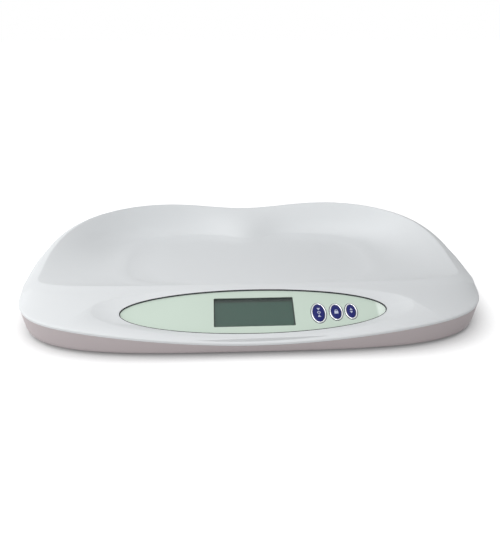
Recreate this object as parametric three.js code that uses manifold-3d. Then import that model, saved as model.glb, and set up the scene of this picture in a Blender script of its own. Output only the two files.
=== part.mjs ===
// A digital baby weighing scale: a cradle with a wave-backed rim over a shallow base on four weighing feet.
// Millimetres. X runs along the cradle, Y from the display side to the back, Z up from the floor.
import * as THREE from "three";
import { mergeVertices } from "three/addons/utils/BufferGeometryUtils.js";
import Module from "manifold-3d";

const wasm = await Module();
wasm.setup();

// Overall size and heights above the floor
const scaleLength = 560;
const scaleDepth = 326;
const rimHeight = 87;
const rimDip = 12;
const rimDipSpread = 86;
const creaseHeight = 51;
const waistHeight = 34.2;
const waistFrontDrop = 16.6;
const bedHeight = 38;
const baseHeight = 4;

// Walls and clearances
const wall = 3;
const baseWall = 2.5;
const gap = 0.3;
const slideGap = 0.4;
const overrun = 5;

// Plan outlines, from the waist inwards
const waistCentre = -4;
const lipHeight = 3.6;
const lipInset = 1;
const footInset = 4.7;
const rimFlareSide = 12.2;
const rimFlareBack = 4;
const rimWidth = 9;
const shoulderRun = 10.2;
const shoulderDrop = 3.8;
const slopeRun = 85.1;
const creaseFront = slopeRun - scaleDepth / 2;
const slopeBulge = 3.5;
const wallRunSide = 53;
const wallRunFront = 11;
const wallRunBack = 15;
const wallFootRise = 1.4;
const bedSideInset = 130;
const bedFrontInset = 22.2;
const bedBackInset = 49;
const bedStepRun = 15;
const bedStepRise = 2.6;
const notchDepth = 21;
const notchSpread = 40;
const ringCentre = 22;

// Exponents of the outlines and shares of the sections
const waistFrontPower = 3.85;
const waistBackPower = 2.47;
const basePower = 3.8;
const rimFrontPower = 4.9;
const rimBackPower = 2.6;
const wallFootPower = 3.2;
const bedPower = 3;
const waistDropPower = 2.8;
const sectionSpreadShare = 0.86;
const backBulgeShare = 0.3;
const shoulderFrontShare = 0.42;
const bedInnerShare = 0.86;
const bedStepFrontShare = 0.33;
const bedStepBackShare = 0.8;
const rimCentreShare = 0.333;
const sectionCount = 60;

// Display panel, let into the front slope
const panelTilt = THREE.MathUtils.degToRad(23);
const panelInset = 43.4;
const panelY = panelInset - scaleDepth / 2;
const panelZ = 34.3;
const overlayHalfLength = 152;
const overlayHalfHeight = 32.5;
const dishRun = 32;
const dishRise = 7.6;
const dishHalfLength = overlayHalfLength + dishRun;
const dishHalfHeight = overlayHalfHeight + dishRise;
const dishShift = -0.4;
const dishPower = 0.9;
const dishLip = 1.5;
const dishMargin = 1.4;
const dishStep = 0.5;
const overlayThickness = 0.8;
const overlayPower = 1.2;
const panelWall = 3;
const backingRun = 27.5;
const backingRise = 7;
const backingHalfLength = overlayHalfLength + backingRun;
const backingHalfHeight = overlayHalfHeight + backingRise;
const backingTop = 9;
const windowLengthShare = 0.6046;
const windowHeightShare = 1.32;
const windowLength = overlayHalfLength * windowLengthShare;
const windowHeight = overlayHalfHeight * windowHeightShare;
const windowCorner = 1.2;
const glassMargin = 3.5;
const lensThickness = 1.2;
const glassThickness = 2.8;

// Board and what it carries
const boardMargin = 21.5;
const boardTail = 17.4;
const boardInset = 4.5;
const boardHalfHeight = overlayHalfHeight - boardInset;
const boardCorner = 3;
const boardThickness = 1.6;
const frameHeight = 4.6;
const frameBar = 5;
const zebraInset = 1;
const zebraWidth = 2.4;
const switchSize = 6;
const plungerRadius = 1.7;
const plungerLength = 2.9;
const chipSize = 14;
const chipHeight = 1.4;
const chipX = 20;
const chipY = -8;
const buzzerRadius = 6;
const buzzerHeight = 5;
const buzzerX = -38;
const buzzerY = 6;
const connectorInset = 65;
const connectorY = 19;
const connectorLength = 26;
const connectorDepth = 7;
const connectorHeight = 5.5;
const connectorPitch = 4.6;
const boardScrewRadius = 1.25;
const boardScrewHead = 2.7;
const boardScrewHeadHeight = 1.6;
const boardScrewLength = 6;
const postRadius = 3.3;

// Buttons: place along the panel, place up the slope, half width and half height, as shares of the overlay's halves
const buttonShares = [
  ["tare_button", 0.4844, -0.132, 0.0432, 0.386],
  ["hold_button", 0.6167, -0.101, 0.0367, 0.316],
  ["unit_button", 0.731, -0.081, 0.0328, 0.294],
];
const buttonTable = buttonShares.map(([name, along, up, width, height]) => ({
  name,
  x: along * overlayHalfLength,
  y: up * overlayHalfHeight,
  halfWidth: width * overlayHalfLength,
  halfHeight: height * overlayHalfHeight,
}));
const boardLeft = -windowLength / 2 - boardMargin;
const boardRight = buttonTable[buttonTable.length - 1].x + boardTail;
const buttonCrown = 1.3;
const crownShares = [
  [1, 0.66],
  [0.45, 1],
];
const buttonFlange = 1.4;
const buttonFlangeHeight = 1;
const bezelWidth = 1.6;
const bezelRise = 0.9;

// Feet
const footSideInset = 80;
const footFrontInset = 58;
const footBackInset = 75;
const footX = scaleLength / 2 - footSideInset;
const footFrontY = footFrontInset - scaleDepth / 2;
const footBackY = scaleDepth / 2 - footBackInset;
const padRadius = 17.4;
const padHeight = 3.9;
const padEdge = 1.4;
const housingRadius = 19.4;
const housingBottom = 3;
const housingFlangeHeight = 5.2;
const housingBossRadius = 4;
const sensorSize = 36;
const sensorThickness = 2;
const sensorCorner = 3;
const sensorSlot = 2;
const sensorTongue = 11;
const seatLedgeHeight = 9.5;
const seatWall = 3.1;
const seatSize = sensorSize + 2 * (slideGap + seatWall);
const seatTopHeight = 12.2;

// Batteries and their bay
const cellCount = 4;
const cellRadius = 7.25;
const cellLength = 50.5;
const cellNubRadius = 2.7;
const cellNubLength = 1.2;
const cellEdge = 0.6;
const cellPitch = 15.3;
const cellRise = 3.2;
const bayInset = 46;
const bayCentreY = footBackY - bayInset;
const bayEndSpace = 3.3;
const bayWall = 2;
const bayFrameHeight = 8.4;
const doorThickness = 2.4;
const doorBarrelRadius = 1.8;
const doorPinRadius = 1;
const doorPinLength = 3;
const doorOverlap = 3;
const fingerWidth = 16;
const fingerDepth = 2;
const contactThickness = 0.5;
const contactHeight = 11;
const contactReach = 2.4;
const contactWidth = 10;

// Case screws: places on the right-hand side, each with its mirror image
const caseScrewEndInset = 34;
const caseScrewFrontInset = 35;
const caseScrewBackInset = 37;
const caseScrewPanelSpace = 18.6;
const caseScrewBackShare = 0.4;
const caseScrewTable = [
  { x: scaleLength / 2 - caseScrewEndInset, y: 0 },
  { x: boardRight + caseScrewPanelSpace, y: caseScrewFrontInset - scaleDepth / 2 },
  { x: (scaleLength / 2) * caseScrewBackShare, y: scaleDepth / 2 - caseScrewBackInset },
];
const caseBossRadius = 4.6;
const caseScrewRadius = 1.7;
const caseScrewHead = 3.4;
const caseScrewHeadHeight = 2.6;
const caseScrewSeat = 9;
const caseBossSplit = 17.5;
const caseScrewLength = 17;
const screwTaperShare = 0.8;
const slotWidthShare = 0.3;

// Ribs, and the tongue on which the base meets the upper shell
const ribWidth = 1.8;
const ribHeight = 5;
const tongueRise = 1;
const tongueWall = 1.4;

// Leads from the feet and the bay to the board
const leadRadius = 1.1;
const leadSides = 8;
const leadLift = 0.9;
const leadHump = 2;
const leadDrop = 5.5;
const leadTurn = 11.7;

// Where each lead reaches the bottom under the connector, as a share of half the depth, and the bends
// it then takes, as shares of footX and of half the depth
const leadShares = {
  front_left: { drop: -0.4294, bends: [[0.19, -0.3681], [-0.3, -0.3681], [-0.75, -0.589]] },
  rear_left: { drop: -0.4049, bends: [[0.22, -0.3067], [-0.44, -0.2209], [-0.75, 0.4294]] },
  battery: { drop: -0.3926, bends: [[0.26, -0.2086]] },
  rear_right: { drop: -0.4049, bends: [[0.41, -0.2945], [0.58, -0.1227], [0.76, 0.4294]] },
  front_right: { drop: -0.4417, bends: [[0.44, -0.4172], [0.75, -0.6012]] },
};

// Faces of round pieces
const roundFaces = 18;
const smallFaces = 10;
const panelFaces = 40;

// Materials: colour, roughness, metalness
function material(color, roughness, metalness) {
  return new THREE.MeshStandardMaterial({ color, roughness, metalness });
}
const shellFinish = () => material(0xeef0f1, 0.42, 0);
const baseFinish = () => material(0xbdb2b1, 0.5, 0);
const overlayFinish = () => material(0xcfe0d2, 0.5, 0);
const lensFinish = () => material(0x8fa79c, 0.15, 0);
const displayFinish = () => material(0x55695f, 0.3, 0);
const frameFinish = () => material(0x2b2d2e, 0.6, 0);
const zebraFinish = () => material(0xd9a9b4, 0.8, 0);
const boardFinish = () => material(0x1f6a3d, 0.5, 0);
const chipFinish = () => material(0x1a1a1c, 0.5, 0);
const buttonFinish = () => material(0x15197c, 0.3, 0);
const chromeFinish = () => material(0xd5d8dc, 0.15, 1);
const steelFinish = () => material(0xaeb2b6, 0.3, 1);
const rubberFinish = () => material(0x3a3b3d, 0.9, 0);
const cellFinish = () => material(0x3c4a52, 0.35, 0.4);
const leadFinish = () => material(0xe6e6e2, 0.6, 0);
const connectorFinish = () => material(0xe9e4d4, 0.6, 0);

// Solids and geometries
function solidOf(geometry) {
  const bare = geometry.clone();
  bare.deleteAttribute("normal");
  bare.deleteAttribute("uv");
  const merged = mergeVertices(bare, 1e-4);
  return new wasm.Manifold(
    new wasm.Mesh({
      numProp: 3,
      vertProperties: new Float32Array(merged.attributes.position.array),
      triVerts: new Uint32Array(merged.index.array),
    }),
  );
}

function geometryOf(solid) {
  const mesh = solid.getMesh();
  const geometry = new THREE.BufferGeometry();
  geometry.setAttribute("position", new THREE.BufferAttribute(mesh.vertProperties, 3));
  geometry.setIndex(new THREE.BufferAttribute(mesh.triVerts, 1));
  geometry.computeVertexNormals();
  return geometry;
}

function shape(body, { add = [], keep = null, cut = [] }) {
  let solid = solidOf(body);
  for (const piece of add) {
    const extra = keep ? solidOf(piece).intersect(keep) : solidOf(piece);
    solid = solid.add(extra);
  }
  for (const piece of cut) solid = solid.subtract(solidOf(piece));
  return geometryOf(solid);
}

// A box from its centre in plan and its lower and upper height.
function boxBetween(x, y, low, high, width, height) {
  return new THREE.BoxGeometry(width, height, high - low).translate(x, y, (low + high) / 2);
}

function roundBetween(x, y, low, high, radius, faces = roundFaces) {
  return new THREE.CylinderGeometry(radius, radius, high - low, faces)
    .rotateX(Math.PI / 2)
    .translate(x, y, (low + high) / 2);
}

// A closed outline in plan, extruded between two heights.
function slab(outline, low, high, holes = []) {
  const plan = new THREE.Shape(outline);
  plan.holes = holes.map((hole) => new THREE.Path(hole));
  return new THREE.ExtrudeGeometry(plan, { depth: high - low, bevelEnabled: false }).translate(0, 0, low);
}

function turned(profile, faces = roundFaces) {
  const points = profile.map(([r, z]) => new THREE.Vector2(r, z));
  return new THREE.LatheGeometry(points, faces).rotateX(Math.PI / 2);
}

function roundedRectangle(x, y, width, height, radius, steps = 2) {
  const points = [];
  const corners = [
    [1, 1, 0],
    [-1, 1, 1],
    [-1, -1, 2],
    [1, -1, 3],
  ];
  for (const [sideX, sideY, quarter] of corners) {
    for (let i = 0; i <= steps; i++) {
      const angle = ((quarter + i / steps) * Math.PI) / 2;
      const cornerX = x + sideX * (width / 2 - radius);
      const cornerY = y + sideY * (height / 2 - radius);
      points.push(new THREE.Vector2(cornerX + radius * Math.cos(angle), cornerY + radius * Math.sin(angle)));
    }
  }
  return points;
}

// An oval whose ends are more pointed than an ellipse's as the power rises above 1.
function oval(x, y, halfWidth, halfHeight, power = 1, count = 40) {
  const points = [];
  for (let i = 0; i < count; i++) {
    const angle = (2 * Math.PI * i) / count;
    const rise = Math.sign(Math.sin(angle)) * Math.abs(Math.sin(angle)) ** power;
    points.push(new THREE.Vector2(x + halfWidth * Math.cos(angle), y + halfHeight * rise));
  }
  return points;
}

// A closed skin over rows of points, from the lowest row to the highest, with both ends capped.
function skin(rows) {
  const count = rows[0].length;
  const positions = rows.flat().flatMap((p) => [p.x, p.y, p.z]);
  const index = [];
  for (let row = 0; row + 1 < rows.length; row++) {
    for (let i = 0; i < count; i++) {
      const a = row * count + i;
      const b = row * count + ((i + 1) % count);
      index.push(a, b, a + count, b, b + count, a + count);
    }
  }
  for (const [row, first] of [
    [0, true],
    [rows.length - 1, false],
  ]) {
    const centre = positions.length / 3;
    const middle = new THREE.Vector3();
    rows[row].forEach((p) => middle.addScaledVector(p, 1 / count));
    positions.push(middle.x, middle.y, middle.z);
    for (let i = 0; i < count; i++) {
      const a = row * count + i;
      const b = row * count + ((i + 1) % count);
      index.push(centre, first ? b : a, first ? a : b);
    }
  }
  const geometry = new THREE.BufferGeometry();
  geometry.setAttribute("position", new THREE.Float32BufferAttribute(positions, 3));
  geometry.setIndex(index);
  return geometry;
}

// Plan outlines: half a superellipse to the front and half to the back of a centre line
const waistRing = {
  halfLength: scaleLength / 2,
  centre: waistCentre,
  front: scaleDepth / 2 + waistCentre,
  back: scaleDepth / 2 - waistCentre,
  frontPower: waistFrontPower,
  backPower: waistBackPower,
};
const rimRing = {
  halfLength: scaleLength / 2 - rimFlareSide,
  centre: ringCentre - (scaleDepth / 2) * rimCentreShare,
  frontPower: rimFrontPower,
  backPower: rimBackPower,
};
rimRing.front = rimRing.centre - creaseFront;
rimRing.back = scaleDepth / 2 - rimFlareBack - rimRing.centre;
const innerRimRing = {
  ...rimRing,
  halfLength: rimRing.halfLength - rimWidth,
  back: rimRing.back - rimWidth,
};
const outerRimRing = { ...rimRing, front: rimRing.front + shoulderRun };
const wallFootRing = {
  halfLength: innerRimRing.halfLength - wallRunSide,
  centre: ringCentre,
  front: ringCentre - creaseFront - wallRunFront,
  back: innerRimRing.centre + innerRimRing.back - wallRunBack - ringCentre,
  frontPower: wallFootPower,
  backPower: wallFootPower,
  notch: notchDepth,
};
const bedRing = {
  halfLength: scaleLength / 2 - bedSideInset,
  centre: ringCentre,
  front: ringCentre - creaseFront - bedFrontInset,
  back: scaleDepth / 2 - bedBackInset - ringCentre,
  frontPower: bedPower,
  backPower: bedPower,
  notch: notchDepth,
};
const bedStepRing = {
  ...bedRing,
  halfLength: bedRing.halfLength + bedStepRun,
  front: bedRing.front + bedStepRun * bedStepFrontShare,
  back: bedRing.back + bedStepRun * bedStepBackShare,
};
const baseRing = {
  ...waistRing,
  halfLength: waistRing.halfLength - footInset,
  front: waistRing.front - footInset,
  back: waistRing.back - footInset,
  frontPower: basePower,
};

// How far a ring lies from the rays' centre along one ray.
function reach(ring, ray) {
  let near = 0;
  let far = scaleLength;
  for (let i = 0; i < 50; i++) {
    const t = (near + far) / 2;
    const x = Math.abs(ray.x * t) / ring.halfLength;
    const y = ringCentre + ray.y * t - ring.centre;
    const deep = Math.abs(y) / (y < 0 ? ring.front : ring.back);
    const power = y < 0 ? ring.frontPower : ring.backPower;
    if (x ** power + deep ** power > 1) far = t;
    else near = t;
  }
  if (!ring.notch || ray.y < 0) return near;
  const across = (ray.x * near) / notchSpread;
  return near - ring.notch * Math.exp(-across * across);
}

const rays = [];
for (let i = 0; i < sectionCount; i++) {
  const angle = (2 * Math.PI * i) / sectionCount;
  const x = Math.sign(Math.cos(angle)) * Math.abs(Math.cos(angle)) ** sectionSpreadShare * waistRing.halfLength;
  const side = Math.sin(angle) < 0 ? waistRing.front : waistRing.back;
  const y = Math.sign(Math.sin(angle)) * Math.abs(Math.sin(angle)) ** sectionSpreadShare * side;
  const aim = new THREE.Vector2(x, y + waistRing.centre - ringCentre).normalize();
  rays.push(aim);
}

// The cosine between a ray and the waist's own normal there, which keeps walls at their full thickness.
function leanAt(ray) {
  const turn = 0.01;
  const aside = ray.clone().rotateAround(new THREE.Vector2(), turn);
  const here = ray.clone().multiplyScalar(reach(waistRing, ray));
  const there = aside.clone().multiplyScalar(reach(waistRing, aside));
  const along = there.sub(here).normalize();
  return Math.abs(along.x * ray.y - along.y * ray.x);
}

const smooth = (s) => THREE.MathUtils.smoothstep(s, 0, 1);

function waistHeightAt(x, y) {
  if (y > 0) return waistHeight;
  const share = Math.max(0, 1 - (x / waistRing.halfLength) ** 2);
  return waistHeight - waistFrontDrop * share ** waistDropPower;
}

function rimHeightAt(x, y) {
  const start = creaseFront + wallRunBack;
  const end = innerRimRing.centre + innerRimRing.back;
  const share = smooth((y - start) / (end - start));
  const dip = rimDip * Math.exp(-((x / rimDipSpread) ** 2));
  return creaseHeight + share * (rimHeight - creaseHeight - dip);
}

// One ray's section of the upper shell, from the bed outwards, before its corners are rounded.
function shellSection(ray) {
  const at = (t, z) => new THREE.Vector2(t, z);
  const bed = reach(bedRing, ray);
  const inner = reach(innerRimRing, ray);
  const crest = rimHeightAt(ray.x * inner, ringCentre + ray.y * inner);
  const drop = shoulderDrop * (1 - (1 - shoulderFrontShare) * smooth(-ray.y));
  const outer = at(reach(outerRimRing, ray), crest - drop);
  const far = reach(waistRing, ray);
  const waist = at(far, waistHeightAt(ray.x * far, ringCentre + ray.y * far));
  const fall = waist.clone().sub(outer).normalize();
  const middle = outer.clone().add(waist).multiplyScalar(0.5);
  const bulge = slopeBulge * (1 - (1 - backBulgeShare) * smooth(ray.y));
  middle.add(at(-fall.y, fall.x).multiplyScalar(bulge));
  return [
    at(bed * bedInnerShare, bedHeight),
    at(bed, bedHeight),
    at(reach(bedStepRing, ray), bedHeight + bedStepRise),
    at(reach(wallFootRing, ray), bedHeight + bedStepRise + wallFootRise),
    at(inner, crest),
    outer,
    middle,
    waist,
    at(far - lipInset, waist.y - lipHeight),
  ];
}

// Rounding of each corner of a section: share of the leg before, share of the leg after, steps.
const outerRoundingShares = [
  [0, 0, 0],
  [0.4, 0.3, 1],
  [0.65, 0.72, 3],
  [0.12, 0.25, 2],
  [0.4, 0.2, 1],
  [0, 0, 0],
  [0.12, 0.4, 2],
];
const innerRoundingShares = [
  [0, 0, 0],
  [0, 0, 0],
  [0.6, 0.65, 2],
  [0, 0, 0],
  [0, 0, 0],
  [0, 0, 0],
  [0, 0, 0],
];

function rounded(section, shares) {
  const points = [section[0]];
  shares.forEach(([before, after, steps], i) => {
    const corner = section[i + 1];
    const start = corner.clone().lerp(section[i], before);
    const end = corner.clone().lerp(section[i + 2], after);
    if (steps === 0) points.push(corner);
    else
      for (let step = 0; step <= steps; step++) {
        const u = step / steps;
        points.push(start.clone().lerp(corner, u).lerp(corner.clone().lerp(end, u), u));
      }
  });
  points.push(section[section.length - 1]);
  return points;
}

// The same section set inwards by a wall, with mitred corners.
function inset(section, thickness, lean) {
  const flat = section.map((p) => new THREE.Vector2(p.x * lean, p.y));
  const normal = (i) => {
    const leg = flat[i + 1].clone().sub(flat[i]).normalize();
    return new THREE.Vector2(leg.y, -leg.x);
  };
  return flat.map((p, i) => {
    const before = normal(Math.max(0, i - 1));
    const after = normal(Math.min(flat.length - 2, i));
    const mitre = before.clone().add(after).normalize();
    const moved = p.clone().addScaledVector(mitre, thickness / mitre.dot(after));
    return new THREE.Vector2(moved.x / lean, moved.y);
  });
}

function placed(ray, point) {
  return new THREE.Vector3(ray.x * point.x, ringCentre + ray.y * point.x, point.y);
}

// Rows of a skin from one list of section points per ray.
function rowsOf(sections) {
  return sections[0].map((_, row) => sections.map((section, i) => placed(rays[i], section[row])));
}

const outerSections = rays.map((ray) => rounded(shellSection(ray), outerRoundingShares));
const innerSections = rays.map((ray) => rounded(inset(shellSection(ray), wall, leanAt(ray)), innerRoundingShares));
const shellOutside = skin(rowsOf(outerSections).reverse());
const shellInside = (() => {
  const rows = rowsOf(innerSections);
  const mouth = rows[rows.length - 1];
  rows.push(mouth.map((p) => new THREE.Vector3(p.x, p.y, -overrun)));
  return skin(rows.reverse());
})();

// Panel frame: x along the cradle, y up the slope, z out of the overlay's face
const panelMatrix = new THREE.Matrix4()
  .makeTranslation(0, panelY, panelZ)
  .multiply(new THREE.Matrix4().makeRotationX(panelTilt));
const onPanel = (geometry) => geometry.applyMatrix4(panelMatrix);
const pocketFloor = -overlayThickness - gap;
const panelBack = pocketFloor - panelWall;
const lensTop = pocketFloor;
const glassTop = lensTop - lensThickness - gap;
const frameTop = glassTop - glassThickness - gap;
const boardTop = frameTop - frameHeight - gap;
const boardBottom = boardTop - boardThickness;
const glassLength = windowLength + 2 * glassMargin;
const glassHeight = windowHeight + 2 * glassMargin;
const boardLength = boardRight - boardLeft;
const boardCentre = (boardLeft + boardRight) / 2;
const connectorX = boardRight - connectorInset;
const zebraLength = windowLength - zebraInset;

const slope = new THREE.Mesh(shellOutside, new THREE.MeshStandardMaterial({ side: THREE.DoubleSide }));
function slopeHeightAt(point) {
  const start = new THREE.Vector3(point.x, point.y, scaleDepth / 2).applyMatrix4(panelMatrix);
  const down = new THREE.Vector3(0, 0, -1).transformDirection(panelMatrix);
  const hit = new THREE.Raycaster(start, down).intersectObject(slope)[0];
  return scaleDepth / 2 - hit.distance;
}

// The dish round the overlay runs from its lip up to an oval, where it ends in a small step down from the slope.
function dishCutter() {
  const rim = oval(0, dishShift, dishHalfLength, dishHalfHeight, dishPower, panelFaces);
  const foot = oval(
    0,
    0,
    overlayHalfLength + dishMargin,
    overlayHalfHeight + dishMargin,
    overlayPower,
    panelFaces,
  );
  const low = foot.map((p) => new THREE.Vector3(p.x, p.y, dishLip));
  const edge = rim.map((p) => new THREE.Vector3(p.x, p.y, Math.max(dishLip, slopeHeightAt(p) - dishStep)));
  const over = edge.map((p) => new THREE.Vector3(p.x, p.y, p.z + overrun));
  return onPanel(skin([low, edge, over]));
}

const overlayOutline = (grow) =>
  oval(0, 0, overlayHalfLength + grow, overlayHalfHeight + grow, overlayPower, panelFaces);
const buttonOutline = (button, grow) =>
  oval(button.x, button.y, button.halfWidth + grow, button.halfHeight + grow, 1, roundFaces);
const backing = () =>
  onPanel(slab(oval(0, 0, backingHalfLength, backingHalfHeight, 1, panelFaces), panelBack, backingTop));
const pocket = () => onPanel(slab(overlayOutline(slideGap), pocketFloor, dishLip + overrun));
const windowHole = () =>
  onPanel(boxBetween(0, 0, panelBack - overrun, overrun, glassLength + 2 * gap, glassHeight + 2 * gap));
const buttonHole = (button) => onPanel(slab(buttonOutline(button, slideGap), panelBack - overrun, overrun));

// Posts under the panel that the board is screwed to
const boardPostTable = [
  { x: boardLeft + 2 * postRadius, y: boardHalfHeight - 2 * postRadius },
  { x: boardLeft + 2 * postRadius, y: 2 * postRadius - boardHalfHeight },
  { x: boardRight - 2 * postRadius, y: 0 },
];
const boardPost = (post) => onPanel(roundBetween(post.x, post.y, boardTop + gap, panelBack + gap, postRadius, smallFaces));
const boardPostBore = (post) =>
  onPanel(
    roundBetween(post.x, post.y, boardTop - gap, boardTop + boardScrewLength, boardScrewRadius + gap, smallFaces),
  );

// Case screws: a boss hangs from the upper shell to meet a pillar that stands in the base
const caseScrews = caseScrewTable.flatMap(({ x, y }) => [
  { x, y },
  { x: -x, y },
]);
const caseBoss = ({ x, y }) => roundBetween(x, y, caseBossSplit, rimHeight, caseBossRadius, smallFaces);
const caseBossBore = ({ x, y }) =>
  roundBetween(x, y, caseBossSplit - gap, caseScrewSeat + caseScrewLength, caseScrewRadius + gap, smallFaces);

const shellBody = solidOf(shellOutside);
const trayShell = shape(geometryOf(shellBody.subtract(solidOf(shellInside))), {
  add: [backing(), ...caseScrews.map(caseBoss)],
  keep: shellBody,
  cut: [dishCutter(), pocket(), windowHole(), ...buttonTable.map(buttonHole), ...caseScrews.map(caseBossBore)],
});
const trayWithPosts = shape(trayShell, {
  add: boardPostTable.map(boardPost),
  cut: boardPostTable.map(boardPostBore),
});

// Base: a skirt under the shell's lip, a tongue inside it and a flat bottom
const plateTop = baseHeight + baseWall;
const baseEdgeShares = [
  [0.06, 0.3, 2],
  [0, 0, 0],
  [0, 0, 0],
];
function baseSections(outside) {
  return rays.map((ray) => {
    const lean = leanAt(ray);
    const far = reach(waistRing, ray);
    const foot = reach(baseRing, ray);
    const top = waistHeightAt(ray.x * far, ringCentre + ray.y * far) - lipHeight;
    const tongue = far - lipInset - (wall + gap) / lean;
    const at = (t, z) => new THREE.Vector2(t, z);
    if (outside) {
      const edge = [
        at(foot * bedInnerShare, baseHeight),
        at(foot, baseHeight),
        at(far - lipInset, top - gap),
        at(tongue, top - gap),
        at(tongue, top + tongueRise),
      ];
      return rounded(edge, baseEdgeShares);
    }
    return [
      at(foot * bedInnerShare, plateTop),
      at(foot - baseWall / lean, plateTop),
      at(tongue - tongueWall / lean, top + tongueRise + overrun),
    ];
  });
}
const baseOutside = skin(rowsOf(baseSections(true)));
const baseInside = skin(rowsOf(baseSections(false)));

const feet = [
  { name: "front_left", x: -footX, y: footFrontY },
  { name: "front_right", x: footX, y: footFrontY },
  { name: "rear_left", x: -footX, y: footBackY },
  { name: "rear_right", x: footX, y: footBackY },
];
const sensorBottom = seatLedgeHeight + gap;
const sensorMiddle = sensorBottom + sensorThickness / 2;
const footSeat = ({ x, y }) =>
  slab(roundedRectangle(x, y, seatSize, seatSize, sensorCorner + wall), baseHeight, seatTopHeight);
const footWell = ({ x, y }) => roundBetween(x, y, -overrun, seatTopHeight, housingRadius + slideGap);
const sensorPocket = ({ x, y }) =>
  boxBetween(x, y, seatLedgeHeight, seatTopHeight + overrun, sensorSize + 2 * slideGap, sensorSize + 2 * slideGap);
const leadNotch = ({ x, y }) =>
  boxBetween(
    x - (Math.sign(x) * (seatSize - seatWall)) / 2,
    y,
    sensorMiddle - 2 * leadRadius,
    seatTopHeight + overrun,
    2 * seatWall,
    4 * leadRadius,
  );

// Battery bay
const bayWidth = cellCount * cellPitch + slideGap;
const bayLength = cellLength + 2 * bayEndSpace;
const bayBackY = bayCentreY + bayLength / 2;
const bayFrontY = bayCentreY - bayLength / 2;
const cellAxis = baseHeight + cellRise + cellRadius;
const bayRoof = cellAxis + cellRadius + gap;
const hingeY = bayBackY + doorOverlap;
const hingeZ = baseHeight + doorBarrelRadius;
const doorWidth = bayWidth + 2 * doorOverlap;
const doorFrontY = bayFrontY - doorOverlap;
const doorMiddleY = (doorFrontY + hingeY) / 2;
const bayBlock = () =>
  boxBetween(0, bayCentreY, baseHeight + gap, bayRoof + bayWall, bayWidth + 2 * bayWall, bayLength + 2 * bayWall);
const bayRoom = () => boxBetween(0, bayCentreY, -overrun, bayRoof, bayWidth, bayLength);
const bayFrame = () =>
  boxBetween(
    0,
    doorMiddleY,
    baseHeight,
    bayFrameHeight,
    doorWidth + 2 * (doorPinLength + bayWall),
    hingeY - doorFrontY + 2 * (doorBarrelRadius + bayWall),
  );
const doorRecess = () =>
  boxBetween(
    0,
    (doorFrontY - slideGap + hingeY + doorBarrelRadius + slideGap) / 2,
    -overrun,
    baseHeight + 2 * doorBarrelRadius + slideGap,
    doorWidth + 2 * slideGap,
    hingeY + doorBarrelRadius - doorFrontY + 2 * slideGap,
  );
function alongX(radius, length, x, y, z, faces = smallFaces) {
  return new THREE.CylinderGeometry(radius, radius, length, faces).rotateZ(Math.PI / 2).translate(x, y, z);
}
const doorPinBore = () =>
  alongX(doorPinRadius + slideGap / 2, doorWidth + 2 * (doorPinLength + slideGap), 0, hingeY, hingeZ);
const batteryLeadX = ((cellCount - 1) / 2) * cellPitch;
const batteryLeadHole = () =>
  new THREE.CylinderGeometry(leadRadius + gap, leadRadius + gap, 4 * bayWall, smallFaces)
    .translate(batteryLeadX, bayFrontY - bayWall / 2, cellAxis);

const casePillar = ({ x, y }) => roundBetween(x, y, baseHeight, caseBossSplit - gap, caseBossRadius, smallFaces);
const caseScrewHole = ({ x, y }) =>
  roundBetween(x, y, -overrun, caseBossSplit + gap, caseScrewRadius + gap, smallFaces);
const caseScrewSink = ({ x, y }) => roundBetween(x, y, -overrun, caseScrewSeat, caseScrewHead + gap, smallFaces);

// Stiffening ribs across the bottom, clear of the leads' corridor
const ribTable = [
  { x: -footX / 2, y: bayCentreY, width: ribWidth, height: bayLength + 2 * doorOverlap },
  { x: footX / 2, y: bayCentreY, width: ribWidth, height: bayLength + 2 * doorOverlap },
  { x: 0, y: footFrontY + seatSize / 4, width: footX, height: ribWidth },
  { x: 0, y: footBackY + seatSize / 2, width: footX, height: ribWidth },
];
const rib = ({ x, y, width, height }) => boxBetween(x, y, baseHeight, plateTop + ribHeight, width, height);

const basePan = shape(geometryOf(solidOf(baseOutside).subtract(solidOf(baseInside))), {
  add: [
    ...caseScrews.map(casePillar),
    ...feet.map(footSeat),
    ...ribTable.map(rib),
    bayFrame(),
    bayBlock(),
  ],
  keep: solidOf(baseOutside),
  cut: [
    ...caseScrews.map(caseScrewHole),
    ...caseScrews.map(caseScrewSink),
    ...feet.map(footWell),
    ...feet.map(sensorPocket),
    ...feet.map(leadNotch),
    bayRoom(),
    doorRecess(),
    doorPinBore(),
    batteryLeadHole(),
  ],
});

const scale = new THREE.Group();
const panel = new THREE.Group();
panel.position.set(0, panelY, panelZ);
panel.rotation.x = panelTilt;
scale.add(panel);

function put(name, geometry, finish, parent = scale) {
  const mesh = new THREE.Mesh(geometry, finish());
  mesh.name = name;
  parent.add(mesh);
  return mesh;
}

put("tray_shell", trayWithPosts, shellFinish);
put("base_pan", basePan, baseFinish);

// Panel overlay with its window and the holes for the bezels
const bezelGrow = slideGap + bezelWidth;
const windowOutline = roundedRectangle(0, 0, windowLength, windowHeight, windowCorner);
const overlay = slab(overlayOutline(0), -overlayThickness, 0, [
  windowOutline,
  ...buttonTable.map((button) => buttonOutline(button, bezelGrow + gap)),
]);
put("panel_overlay", overlay, overlayFinish, panel);

put("display_lens", boxBetween(0, 0, lensTop - lensThickness, lensTop, glassLength, glassHeight), lensFinish, panel);
put("lcd_glass", boxBetween(0, 0, glassTop - glassThickness, glassTop, glassLength, glassHeight), displayFinish, panel);

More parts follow.
